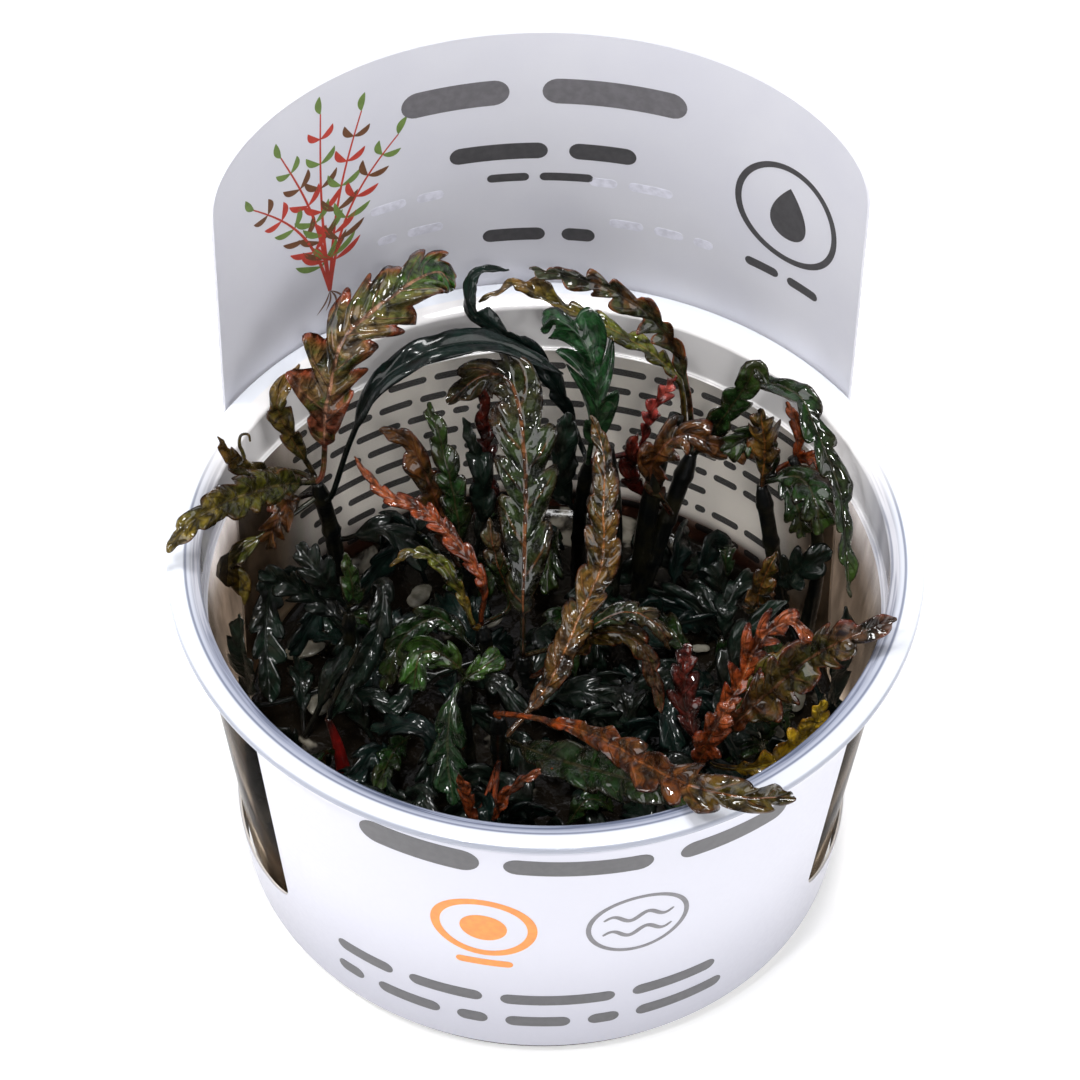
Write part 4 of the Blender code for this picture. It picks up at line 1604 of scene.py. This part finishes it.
        reach = np.abs(blade.across)
        spot = blade.share + self.sweep * blade.half * reach**1.5 * blade.on_blade / length
        aside = blade.across * blade.half
        flat = path.at(spot) + path.read(side, spot) * (aside * MM)[..., None]
        over = path.read(out, spot)
        body = self.THICKNESS + (2 * self.STALK_RADIUS - self.THICKNESS) * (1 - blade.on_blade)
        body = body * (1 - 0.6 * smooth_step(blade.share, 0.9, 1.0))
        bulk = body / 2 * np.sqrt(np.maximum(1 - blade.across**2, 0.0))
        rib = np.exp(-((aside / self.RIB_WIDTH) ** 2)) * blade.on_blade
        upper = flat + over * ((height + bulk - 0.10 * rib) * MM)[..., None]
        lower = flat + over * ((height - bulk - 0.16 * rib) * MM)[..., None]
        points = np.concatenate([upper, lower[:, -2:0:-1]], axis=1)
        place = np.stack(np.broadcast_arrays(blade.share, blade.across, blade.count), axis=-1)
        places = np.concatenate([place, place[:, -2:0:-1]], axis=1)
        return Shape.rings(points, places, flip=True)


@dataclass
class Plant:
    """One plantlet: its stem's radius and middle line from the gel up, and its leaves."""

    radius: float
    stem: list[Point]
    leaves: list[Leaf]

    def nearest(self, place: Point) -> Array:
        """The stem's point in millimetres that is nearest to a place."""
        line = Path(self.stem).line / MM
        return line[int(np.argmin(np.linalg.norm(line - np.asarray(place), axis=1)))]


def leaf(width: float, turn: float, lobes: int, tint: Tint, *midrib: Point, **more: float) -> Leaf:
    """A leaf from its width, turn, lobes a side, tint and midrib points, with any other sizes."""
    return Leaf(width, turn, lobes, tint, list(midrib), **more)


def plants() -> dict[str, Plant]:
    """The plantlets, with places and sizes in millimetres.

    Returns:
        Each plantlet by the name of its clump.
    """
    return {
        "left": Plant(1.4, [(-30, 23, 20), (-31, 24, 33), (-33, 24, 45)], [
            leaf(10.0, 10, 9, Tint.BRONZE, (-32, 24, 48), (-31, 25, 61), (-28, 29, 70),
                 (-21, 33, 75), (-16, 39, 73), (-14, 40, 69), bay=0.58, slender=0.55, sweep=1.3,
                 curl=0.8, crinkle=1.1, fold=0.1),
            leaf(4.0, 0, 3, Tint.OLIVE, (-34, 25, 47), (-37, 24, 56), (-38, 24, 62), (-35, 26, 67)),
            leaf(6.5, 15, 6, Tint.LIME, (-34, 23, 46), (-38, 14, 55), (-43, 5, 62), (-48, -2, 65),
                 (-51.2, -5.6, 62.6), bay=0.60, curl=0.25),
            leaf(5.0, 0, 4, Tint.RUSSET, (-35, 24, 42), (-38, 19, 44), (-40, 16, 39), bay=0.3,
                 slender=0.8),
            leaf(3.5, -20, 3, Tint.OLIVE, (-36, 25, 46), (-42, 17, 55), (-44, 12, 63),
                 (-45, 9, 70)),
            leaf(4.6, 35, 4, Tint.TEAL, (-31, 23, 43), (-28, 25, 53), (-24, 26, 63), (-17, 28, 68),
                 (-8, 32, 66), (2, 33, 59), bay=0.85, crinkle=0.12, curl=0.05, stalk=0.25),
            leaf(5.5, 20, 3, Tint.DEEP, (-29, 24, 33), (-23, 23, 36), (-17, 21, 30)),
        ]),
        "low_left": Plant(1.1, [(-28, 6, 20), (-28, 8, 28), (-28, 9, 34)], [
            leaf(6.0, -15, 3, Tint.DEEP, (-29, 10, 35), (-32, 9, 42), (-35, 12, 45)),
            leaf(5.5, 10, 4, Tint.DEEP, (-29, 10, 31), (-35, 12, 35), (-41, 13, 38)),
            leaf(5.0, 20, 4, Tint.DEEP, (-26, 10, 35), (-23, 8, 41), (-24, 2, 36), (-30, -5, 27)),
            leaf(4.0, -10, 3, Tint.GREEN, (-28, 8, 36), (-27, 5, 43), (-28, 6, 50)),
            leaf(6.5, 25, 5, Tint.DEEP, (-33, 21, 27), (-39, 15, 33), (-40, 8, 30), (-39, 0, 24)),
        ]),
        "mid_left": Plant(1.2, [(-7, 6, 20), (-8, 6, 29), (-9, 7, 34)], [
            leaf(3.4, 0, 8, Tint.FLAME, (-9, 7, 36), (-9, 8, 43), (-16, 13, 50), (-23, 14, 54),
                 (-27, 17, 58), bay=0.45, slender=0.8, sweep=1.2),
            leaf(2.8, 0, 5, Tint.CITRUS, (-10, 6, 35), (-12, 8, 40), (-15, 10, 44), (-19, 10, 46),
                 (-22, 9, 44)),
            leaf(5.5, 0, 4, Tint.GREEN, (-10, 6, 30), (-15, 8, 34), (-20, 6, 32), (-23, 1, 26)),
        ]),
        "mid_back": Plant(1.2, [(-10, 22, 20), (-11, 21, 27), (-11, 20, 33)], [
            leaf(4.5, -10, 5, Tint.RED, (-10, 22, 33), (-9, 27, 42), (-9, 31, 50), (-10, 33, 59),
                 bay=0.3, slender=0.8),
            leaf(5.6, 15, 4, Tint.RUSSET, (-13, 20, 33), (-16, 22, 45), (-20, 25, 53),
                 (-24, 26, 54)),
            leaf(5.0, -15, 5, Tint.GREEN, (-12, 19, 34), (-13, 20, 45), (-15, 23, 54),
                 (-17, 26, 60)),
            leaf(4.2, 20, 4, Tint.DEEP, (-10, 20, 35), (-9, 22, 47), (-12, 26, 57)),
        ]),
        "back": Plant(1.2, [(5, 30, 20), (5, 30, 33), (6, 30, 44)], [
            leaf(4.4, 25, 5, Tint.TEAL, (5, 32, 45), (2, 34, 53), (-2, 35, 60), (-7, 35, 65),
                 (-11, 36, 69), (-11, 38, 73), (-6, 39, 74)),
            leaf(9.0, 0, 4, Tint.EMERALD, (6, 29, 46), (7, 30, 57), (5, 32, 66), (1, 33, 70),
                 (-1, 34, 67), bay=0.30, slender=0.75, sweep=1.3, curl=0.5),
            leaf(5.2, -20, 3, Tint.DEEP, (4, 29, 35), (2, 28, 41), (2, 29, 47), (3, 31, 53),
                 bay=0.9),
        ]),
        "centre": Plant(1.4, [(1, 2, 20), (-2, 3, 27), (-3, 3, 32)], [
            leaf(10.0, 0, 6, Tint.MOSS, (-3, 3, 34), (-3, 10, 43), (-3, 19, 51), (-4, 26, 58),
                 (-6, 30, 61), (-10, 31, 60), (-14, 30, 56), bay=0.45, slender=0.5, sweep=1.0,
                 crinkle=0.7),
            leaf(4.4, -20, 5, Tint.COPPER, (-1, 2, 29), (4, 2, 35), (9, 1, 40), (14, -1, 39),
                 (17, -6, 31)),
            leaf(7.0, 15, 3, Tint.DEEP, (1, 1, 25), (5, -1, 29), (10, -2, 28), (15, -4, 24)),
        ]),
        "front_left": Plant(1.2, [(-10, -9, 20), (-11, -8, 31), (-11, -8, 39)], [
            leaf(6.5, 0, 3, Tint.FRESH, (-11, -8, 41), (-14, -8, 45), (-17, -8, 45),
                 (-18, -11, 41)),
            leaf(6.5, -10, 3, Tint.FERN, (-12, -10, 40), (-13, -14, 37), (-13, -17, 32),
                 (-12, -21, 28)),
        ]),
        "front": Plant(1.3, [(-5, -12, 20), (-6, -13, 31), (-6, -14, 39)], [
            leaf(7.0, 0, 8, Tint.ORANGE, (-6, -15, 41), (0, -20, 46), (8, -28, 52), (15, -38, 58),
                 (21, -45, 63), (27, -47, 64), (32, -45, 62), bay=0.42, widest=1.5,
                 crinkle=0.7),
            leaf(7.0, 10, 6, Tint.GREEN, (-5, -14, 34), (2, -22, 40), (8, -28, 45), (14, -34, 50),
                 (21, -41, 55), bay=0.7),
            leaf(6.0, 10, 8, Tint.AMBER, (-5, -11, 31), (1, -5, 36), (5, 2, 42), (8, 8, 47),
                 (8, 14, 52), (8, 20, 56), (6, 24, 60), bay=0.5, slender=0.45, sweep=0.9,
                 crinkle=0.8),
        ]),
        "right": Plant(1.5, [(14, 24, 20), (17, 27, 32), (21, 32, 44)], [
            leaf(5.5, 25, 7, Tint.DUSK, (21, 33, 46), (20, 34, 55), (18, 35, 62), (14, 35, 69),
                 (7, 36, 74), (-3, 36, 77), bay=0.3, slender=0.8, stalk=0.25),
            leaf(4.0, -25, 7, Tint.CITRUS, (20, 33, 45), (19, 36, 54), (15, 36, 60), (9, 37, 64),
                 (1, 39, 67), (-5, 41, 69), (-10, 39, 67), bay=0.3, slender=0.9, stalk=0.2),
            leaf(5.0, 0, 3, Tint.GREEN, (22, 31, 46), (26, 29, 57), (28, 28, 63), (29, 28, 66),
                 (31, 27, 64)),
            leaf(5.0, 20, 6, Tint.GREEN, (23, 33, 45), (29, 32, 58), (35, 27, 62), (38, 21, 60),
                 (41, 15, 55), (42, 9, 50), (43, 4, 45), stalk=0.25),
            leaf(7.0, -10, 6, Tint.RUSSET, (18, 27, 37), (15, 28, 45), (19, 28, 52), (25, 27, 51),
                 (31, 28, 48), bay=0.34, slender=0.8),
        ]),
        "far_right": Plant(1.3, [(35, 23, 22), (33, 23, 34), (31, 26, 44)], [
            leaf(5.5, 15, 4, Tint.AMBER, (31, 25, 46), (31, 25, 53), (30, 26, 60)),
            leaf(6.5, 0, 3, Tint.GREEN, (32, 25, 46), (36, 23, 49), (38, 18, 50), (39, 15, 46),
                 crinkle=0.3, curl=0.2),
            leaf(5.5, -15, 3, Tint.GREEN, (33, 26, 46), (36, 22, 44), (37, 20, 40), crinkle=0.3,
                 curl=0.2),
            leaf(7.0, 20, 3, Tint.DEEP, (34, 21, 28), (37, 18, 35), (41, 17, 40), crinkle=0.25,
                 curl=0.15),
            leaf(5.0, 0, 5, Tint.AMBER, (33, 21, 25), (31, 15, 30), (31, 13, 37), (33, 14, 43)),
        ]),
        "front_right": Plant(1.4, [(23, -11, 20), (23, -12, 28), (23, -14, 33)], [
            leaf(8.0, 0, 7, Tint.COPPER, (24, -14, 34), (30, -14, 44), (36, -15, 54), (41, -17, 61),
                 (47, -16, 64), bay=0.4, slender=0.6, crinkle=0.8),
            leaf(6.0, 15, 6, Tint.FLAME, (23, -12, 35), (27, -9, 40), (30, -6, 47), (34, -6, 51),
                 (37, -9, 50), bay=0.25, slender=0.9, sweep=1.2),
            leaf(6.0, -15, 6, Tint.YELLOW, (25, -14, 29), (31, -17, 33), (35, -19, 40),
                 (37, -20, 46), (38, -20, 51)),
            leaf(5.5, 20, 4, Tint.DEEP, (25, -10, 27), (26, -3, 31), (28, 2, 38), (34, 4, 44)),
            leaf(5.5, 0, 4, Tint.RED, (22, -10, 28), (20, -5, 34), (20, -1, 40)),
        ]),
    }


def small_leaves() -> dict[str, Leaf]:
    """Small leaves beside the main ones.

    Returns:
        Each leaf by its name.
    """
    return {
        "wall_left": leaf(6.5, 50, 4, Tint.DEEP, (-41.0, 0.5, 23), (-41.8, -1, 31), (-42.4, -2, 38),
                          (-42.6, -0.5, 44), crinkle=0.3, curl=0.15),
        "wall_right": leaf(6.5, -50, 4, Tint.TEAL, (40.6, 3, 23), (41.6, 1.5, 30), (42.1, 1.5, 37),
                           (42.3, 4, 43), crinkle=0.3, curl=0.15),
        "edge_lime": leaf(4.0, 0, 2, Tint.LIME, (-45, 13, 40), (-43.5, 12, 37), (-43, 10, 34)),
        "low_left_deep": leaf(4.0, 0, 2, Tint.DEEP, (-32, 15, 28), (-30, 12, 27), (-28, 11, 25)),
        "mid_left_deep": leaf(4.0, 0, 2, Tint.DEEP, (-18, 2, 27), (-20, 0, 25), (-23, -2, 24)),
        "centre_green": leaf(4.0, 10, 3, Tint.MOSS, (-5, 10, 35), (-7, 11, 44), (-8, 14, 49)),
        "front_left_fresh": leaf(4.5, 0, 2, Tint.FRESH, (-11, -9, 41), (-9, -9, 43), (-6, -6, 43)),
        "front_orange_left": leaf(2.6, 0, 4, Tint.FLAME, (-9, -23, 27), (-9.9, -24, 33),
                                  (-11.4, -24, 39), bay=0.3, stalk=0.3),
        "front_orange_right": leaf(2.2, 0, 4, Tint.FLAME, (-6.6, -23, 28), (-4.9, -24, 34),
                                   (-2.2, -24, 38), (1.5, -24, 40.5), bay=0.3, stalk=0.3),
        "centre_arch": leaf(4.0, 20, 4, Tint.MOSS, (4, 1, 38), (10, 1, 44), (15, 0, 44),
                            (18, -2, 40)),
        "front_left_deep": leaf(5.0, 10, 3, Tint.DEEP, (-17, -17, 24), (-22, -15, 23),
                                (-27, -10, 22)),
        "right_pink": leaf(3.6, 0, 5, Tint.PINK, (13, 31, 46), (15, 31, 54), (18, 31, 61), bay=0.2,
                           slender=1.0),
        "right_red": leaf(4.0, 15, 3, Tint.RED, (15, 30, 36), (12, 30, 42), (13, 31, 49)),
        "far_right_green": leaf(6.0, 20, 3, Tint.GREEN, (33, 27, 49), (29, 26, 54), (25, 25, 52)),
        "far_right_orange": leaf(2.5, 0, 3, Tint.FLAME, (35, 27, 47), (36, 29, 52), (34, 30, 57)),
        "edge_orange": leaf(3.0, 0, 3, Tint.FLAME, (34, 28, 46), (38, 26, 50), (41, 23.5, 48.5)),
        "front_right_orange": leaf(5.5, -10, 4, Tint.FLAME, (22, -14, 29), (23, -15, 36),
                                   (26, -14, 43)),
        "front_right_lime": leaf(4.0, 0, 3, Tint.LIME, (28, -11, 40), (31, -11, 47), (35, -10, 51)),
    }


@dataclass
class Shoot:
    """A bare stem: its radius at both ends, its tint (None for the stems' own) and middle line."""

    foot_radius: float
    end_radius: float
    tint: Tint | None
    line: list[Point]


def shoots() -> dict[str, Shoot]:
    """Bare stems and a tendril between the plantlets.

    Returns:
        Each one by its name.
    """
    return {
        "red": Shoot(1.2, 0.45, Tint.SCARLET, [
            (-28.0, -9.5, 19.0), (-28.9, -9, 26), (-30.2, -8.6, 31.4)]),
        "stalk_left": Shoot(0.42, 0.30, None, [
            (-30.1, -8.6, 30.6), (-29.6, -8.2, 34), (-27.6, -7, 39), (-25.5, -5.5, 44)]),
        "tendril": Shoot(0.40, 0.16, Tint.OLIVE, [
            (-43.0, 14.0, 59.5), (-42.1, 12.5, 62.0), (-42.1, 12, 63.8), (-42.5, 12, 65.5),
            (-42.2, 12, 67.3), (-41.2, 12, 67.5), (-41.0, 12, 66.2)]),
        "dark_left": Shoot(1.8, 1.2, None, [
            (9.0, 23.5, 18.5), (9.8, 25, 30), (9.4, 26.5, 42), (8.4, 28, 49)]),
        "dark_right": Shoot(1.9, 1.1, None, [
            (14.5, 25, 18.5), (14.6, 26.5, 32), (16, 29, 44), (18.5, 32, 52)]),
        "dark_far": Shoot(1.2, 0.7, None, [
            (38.5, 17, 22), (39.6, 20, 34), (38.0, 24, 44), (35.0, 26, 50)]),
    }


@dataclass
class Planting:
    """All plantlets: stems, leaves, small leaves, young leaves about the stems, and roots."""

    cup: Cup
    clumps: dict[str, Plant] = field(default_factory=plants)
    gel_top: float = 20.0
    young_leaves: int = 140
    young_spread: float = 38.0
    young_reach: float = 42.0
    young_tints: tuple[Tint, ...] = (Tint.DEEP,) * 3 + (Tint.TEAL,) * 2 + (Tint.GREEN,)
    roots_a_stem: int = 12
    root_clearance: float = 2.4

    def nearest_stem(self, place: Point) -> Array:
        """The point in millimetres on any stem that is nearest to a place."""
        feet = [plant.nearest(place) for plant in self.clumps.values()]
        return min(feet, key=lambda foot: float(np.linalg.norm(foot - np.asarray(place))))

    def build_stem(self, clump: str, plant: Plant) -> None:
        """Makes a stem from inside the gel up, four bell curves along it swelling its joints.

        Args:
            clump: the plantlet's name.
            plant: the plantlet.
        """
        low = np.array(plant.stem[0], float) - (0, 0, 2.5)
        path = Path([tuple(low), *plant.stem])
        share = np.linspace(0, 1, 60)
        knots = 0.16 * np.exp(-(((share * 4) % 1 - 0.5) / 0.10) ** 2)
        taper = 1 - 0.35 * smooth_step(share, 0.92, 1.0)
        stem = tube(path, plant.radius * MM * (0.88 + knots) * taper, 16)
        piece = add_piece("stalk_" + clump, stem, stem_material(), "stem")
        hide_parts("stem_" + clump)

    def build_leaves(self, clump: str, plant: Plant) -> None:
        """Makes every leaf of one plantlet, each standing for its CAD leaf.

        Args:
            clump: the plantlet's name.
            plant: the plantlet.
        """
        for number, item in enumerate(plant.leaves, start=1):
            name = f"blade_{clump}_{number}"
            shape = item.shape(name, plant.nearest(item.midrib[0]))
            piece = add_piece(name, shape, leaf_material(item.tint), item.tint.value.slot)
            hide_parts(f"leaf_{clump}_{number}")

    def build_small(self) -> None:
        """The small leaves, each on a stalk from the nearest stem."""
        for name, item in small_leaves().items():
            shape = item.shape(name, self.nearest_stem(item.midrib[0]), 12, 12)
            material = leaf_material(item.tint)
            add_piece("small_leaf_" + name, shape, material, item.tint.value.slot)

    def build_shoots(self) -> None:
        """The bare stems and the tendril, each a tapering tube."""
        for name, shoot in shoots().items():
            radius = np.linspace(shoot.foot_radius, shoot.end_radius, 40) * MM
            material = leaf_material(shoot.tint) if shoot.tint else stem_material()
            add_piece("shoot_" + name, tube(Path(shoot.line), radius, 14), material, "stem")

    def build_young(self) -> None:
        """A low tangle of young leaves, each from a random place on the gel, arching over."""
        random = np.random.default_rng(11)
        made: dict[Tint, list[Shape]] = {}
        for number in range(self.young_leaves):
            bearing = random.uniform(0, 2 * np.pi)
            away = self.young_spread * math.sqrt(random.uniform(0.01, 1.0))
            x, y = away * math.cos(bearing), away * math.sin(bearing)
            foot = np.array([x, y, self.gel_top - 0.5])
            heading = random.uniform(0, 2 * np.pi)
            length = random.uniform(8, 17)
            x, y = length * math.cos(heading), length * math.sin(heading)
            end = foot + (x, y, random.uniform(1, 6))
            end[:2] *= min(1.0, self.young_reach / float(np.hypot(*end[:2])))
            middle = (foot + end) / 2 + (0, 0, random.uniform(2, 8))
            tint = random.choice(self.young_tints)
            item = leaf(random.uniform(4.0, 6.8), random.uniform(-50, 50),
                        int(random.integers(3, 5)), tint, tuple(foot + (middle - foot) * 0.3),
                        tuple(middle), tuple(end), crinkle=0.22, curl=0.2)
            made.setdefault(tint, []).append(item.shape(f"young_{number}", foot, 8, 8))
        for tint, shapes in made.items():
            name = "young_leaves_" + tint.name.lower()
            add_piece(name, Shape.joined(shapes), leaf_material(tint), tint.value.slot)

    def build_roots(self) -> None:
        """Fine roots in the gel: each starts at a stem's foot, wanders outwards and sinks."""
        random = np.random.default_rng(5)
        shapes = []
        for plant in self.clumps.values():
            foot = np.array(plant.stem[0], float) - (0, 0, 1.5)
            for _ in range(self.roots_a_stem):
                heading = random.uniform(0, 2 * np.pi)
                steps = np.linspace(0, 1, 6)[:, None]
                reach = random.uniform(8, 24)
                out = np.array([np.cos(heading), np.sin(heading), 0.0])
                points = foot + out * reach * steps + random.normal(0, 1.3, (6, 3)) * steps
                depth = foot[2] - random.uniform(4.5, 15)
                points[:, 2] = foot[2] - depth * steps[:, 0] ** 0.8
                limit = self.cup.wall_radius(points[:, 2]) - self.root_clearance
                away = np.hypot(points[:, 0], points[:, 1])
                points[:, :2] *= np.minimum(1.0, limit / np.maximum(away, 1e-6))[:, None]
                shapes.append(tube(Path(points), np.linspace(0.30, 0.12, 40) * MM, 6))
        add_piece("roots", Shape.joined(shapes), root_material(), "stem")

    def build(self) -> None:
        """Builds every plantlet and what grows about it."""
        for clump, plant in self.clumps.items():
            self.build_stem(clump, plant)
            self.build_leaves(clump, plant)
        self.build_small()
        self.build_shoots()
        self.build_young()
        self.build_roots()


# Stage, lights and camera


@dataclass(frozen=True)
class Lamp:
    """A soft rectangular lamp: its place and size in metres, and its power in watts."""

    name: str
    place: Point
    size: tuple[float, float]
    power: float

    TARGET = Vector((0.0, 0.0, 0.05))

    def build(self) -> None:
        """Hangs the lamp, facing the target."""
        data = bpy.data.lights.new(self.name, "AREA")
        data.shape = "RECTANGLE"
        data.size, data.size_y = self.size
        data.energy = self.power
        lamp = bpy.data.objects.new(self.name, data)
        lamp.location = self.place
        view = self.TARGET - Vector(self.place)
        lamp.rotation_euler = view.to_track_quat("-Z", "Y").to_euler()
        bpy.context.scene.collection.objects.link(lamp)


@dataclass
class Studio:
    """A pale floor, soft lamps above, at both sides and in front, a pale sky, and the camera.

    focal and image are in pixels of the photograph, sensor in millimetres, elevation and roll in
    degrees, and the other lengths in metres.
    """

    focal: float = 4000.0
    image: float = 1080.0
    sensor: float = 36.0
    distance: float = 0.570
    elevation: float = 48.2
    roll: float = 1.1
    aim: tuple[float, float, float] = (-0.0008, 0.0202, 0.030)
    floor_half: float = 2.5
    floor_level: float = -0.0001
    sky_colour: Colour = (0.96, 0.97, 1.0)
    sky_strength: float = 0.10
    lamps: tuple[Lamp, ...] = (
        Lamp("top", (0.0, 0.04, 0.80), (0.30, 0.16), 3.9),
        Lamp("fill", (0.05, -0.50, 0.55), (0.07, 0.05), 0.9),
        Lamp("glint_front", (-0.16, -0.32, 0.72), (0.05, 0.05), 1.2),
        Lamp("glint_left", (-0.45, -0.02, 0.60), (0.05, 0.05), 0.8),
        Lamp("left", (-0.60, -0.22, 0.34), (0.48, 0.48), 2.3),
        Lamp("right", (0.60, -0.22, 0.34), (0.48, 0.48), 2.1),
        Lamp("front", (0.15, -0.90, 0.20), (0.7, 0.3), 0.5))

    def floor(self) -> None:
        """A wide level sheet under the cup."""
        side = np.linspace(-self.floor_half, self.floor_half, 9)
        x, y = np.meshgrid(side, side, indexing="ij")
        points = np.stack([x, y, np.full_like(x, self.floor_level)], axis=-1).reshape(-1, 3)
        row = (np.arange(8)[:, None] * 9 + np.arange(8)).ravel()
        faces = np.stack([row, row + 9, row + 10, row + 1], axis=1).tolist()
        add_piece("floor", Shape(points, list(map(tuple, faces))), floor_material(), None)

    def sky(self) -> None:
        """A pale even sky."""
        world = bpy.data.worlds.new("sky")
        world.use_nodes = True
        sky = world.node_tree.nodes["Background"]
        sky.inputs["Color"].default_value = (*self.sky_colour, 1.0)
        sky.inputs["Strength"].default_value = self.sky_strength
        bpy.context.scene.world = world

    def camera(self) -> None:
        """The photograph's camera, looking down along +Y and turned a little about its view."""
        tilt, roll = math.radians(self.elevation), math.radians(self.roll)
        forward = Vector((0.0, math.cos(tilt), -math.sin(tilt)))
        right = Vector((1.0, 0.0, 0.0))
        up = right.cross(forward)
        across = right * math.cos(roll) + up * math.sin(roll)
        above = up * math.cos(roll) - right * math.sin(roll)
        aim = right * self.aim[0] + up * self.aim[1] + Vector((0, 0, self.aim[2]))
        data = bpy.data.cameras.new("camera")
        data.sensor_width = self.sensor
        data.lens = self.focal * self.sensor / self.image
        data.clip_start = 0.01
        camera = bpy.data.objects.new("camera", data)
        turn = Matrix((across, above, -forward)).transposed()
        camera.matrix_world = Matrix.Translation(aim - forward * self.distance) @ turn.to_4x4()
        bpy.context.scene.collection.objects.link(camera)
        bpy.context.scene.camera = camera

    def build(self) -> None:
        """Sets the whole stage."""
        self.floor()
        for lamp in self.lamps:
            lamp.build()
        self.sky()
        self.camera()
        bpy.context.scene.view_settings.view_transform = "Standard"


def main() -> None:
    """Builds the cup, its label and print, the gel, the plants and the studio."""
    logging.basicConfig(level=logging.INFO, format="%(message)s")
    cup = Cup()
    cup.build()
    label = Label(cup)
    label.build()
    Print(label).build()
    gel = Gel(cup)
    gel.build()
    gel.build_crumbs()
    Planting(cup).build()
    Studio().build()


if __name__ == "__main__":
    main()
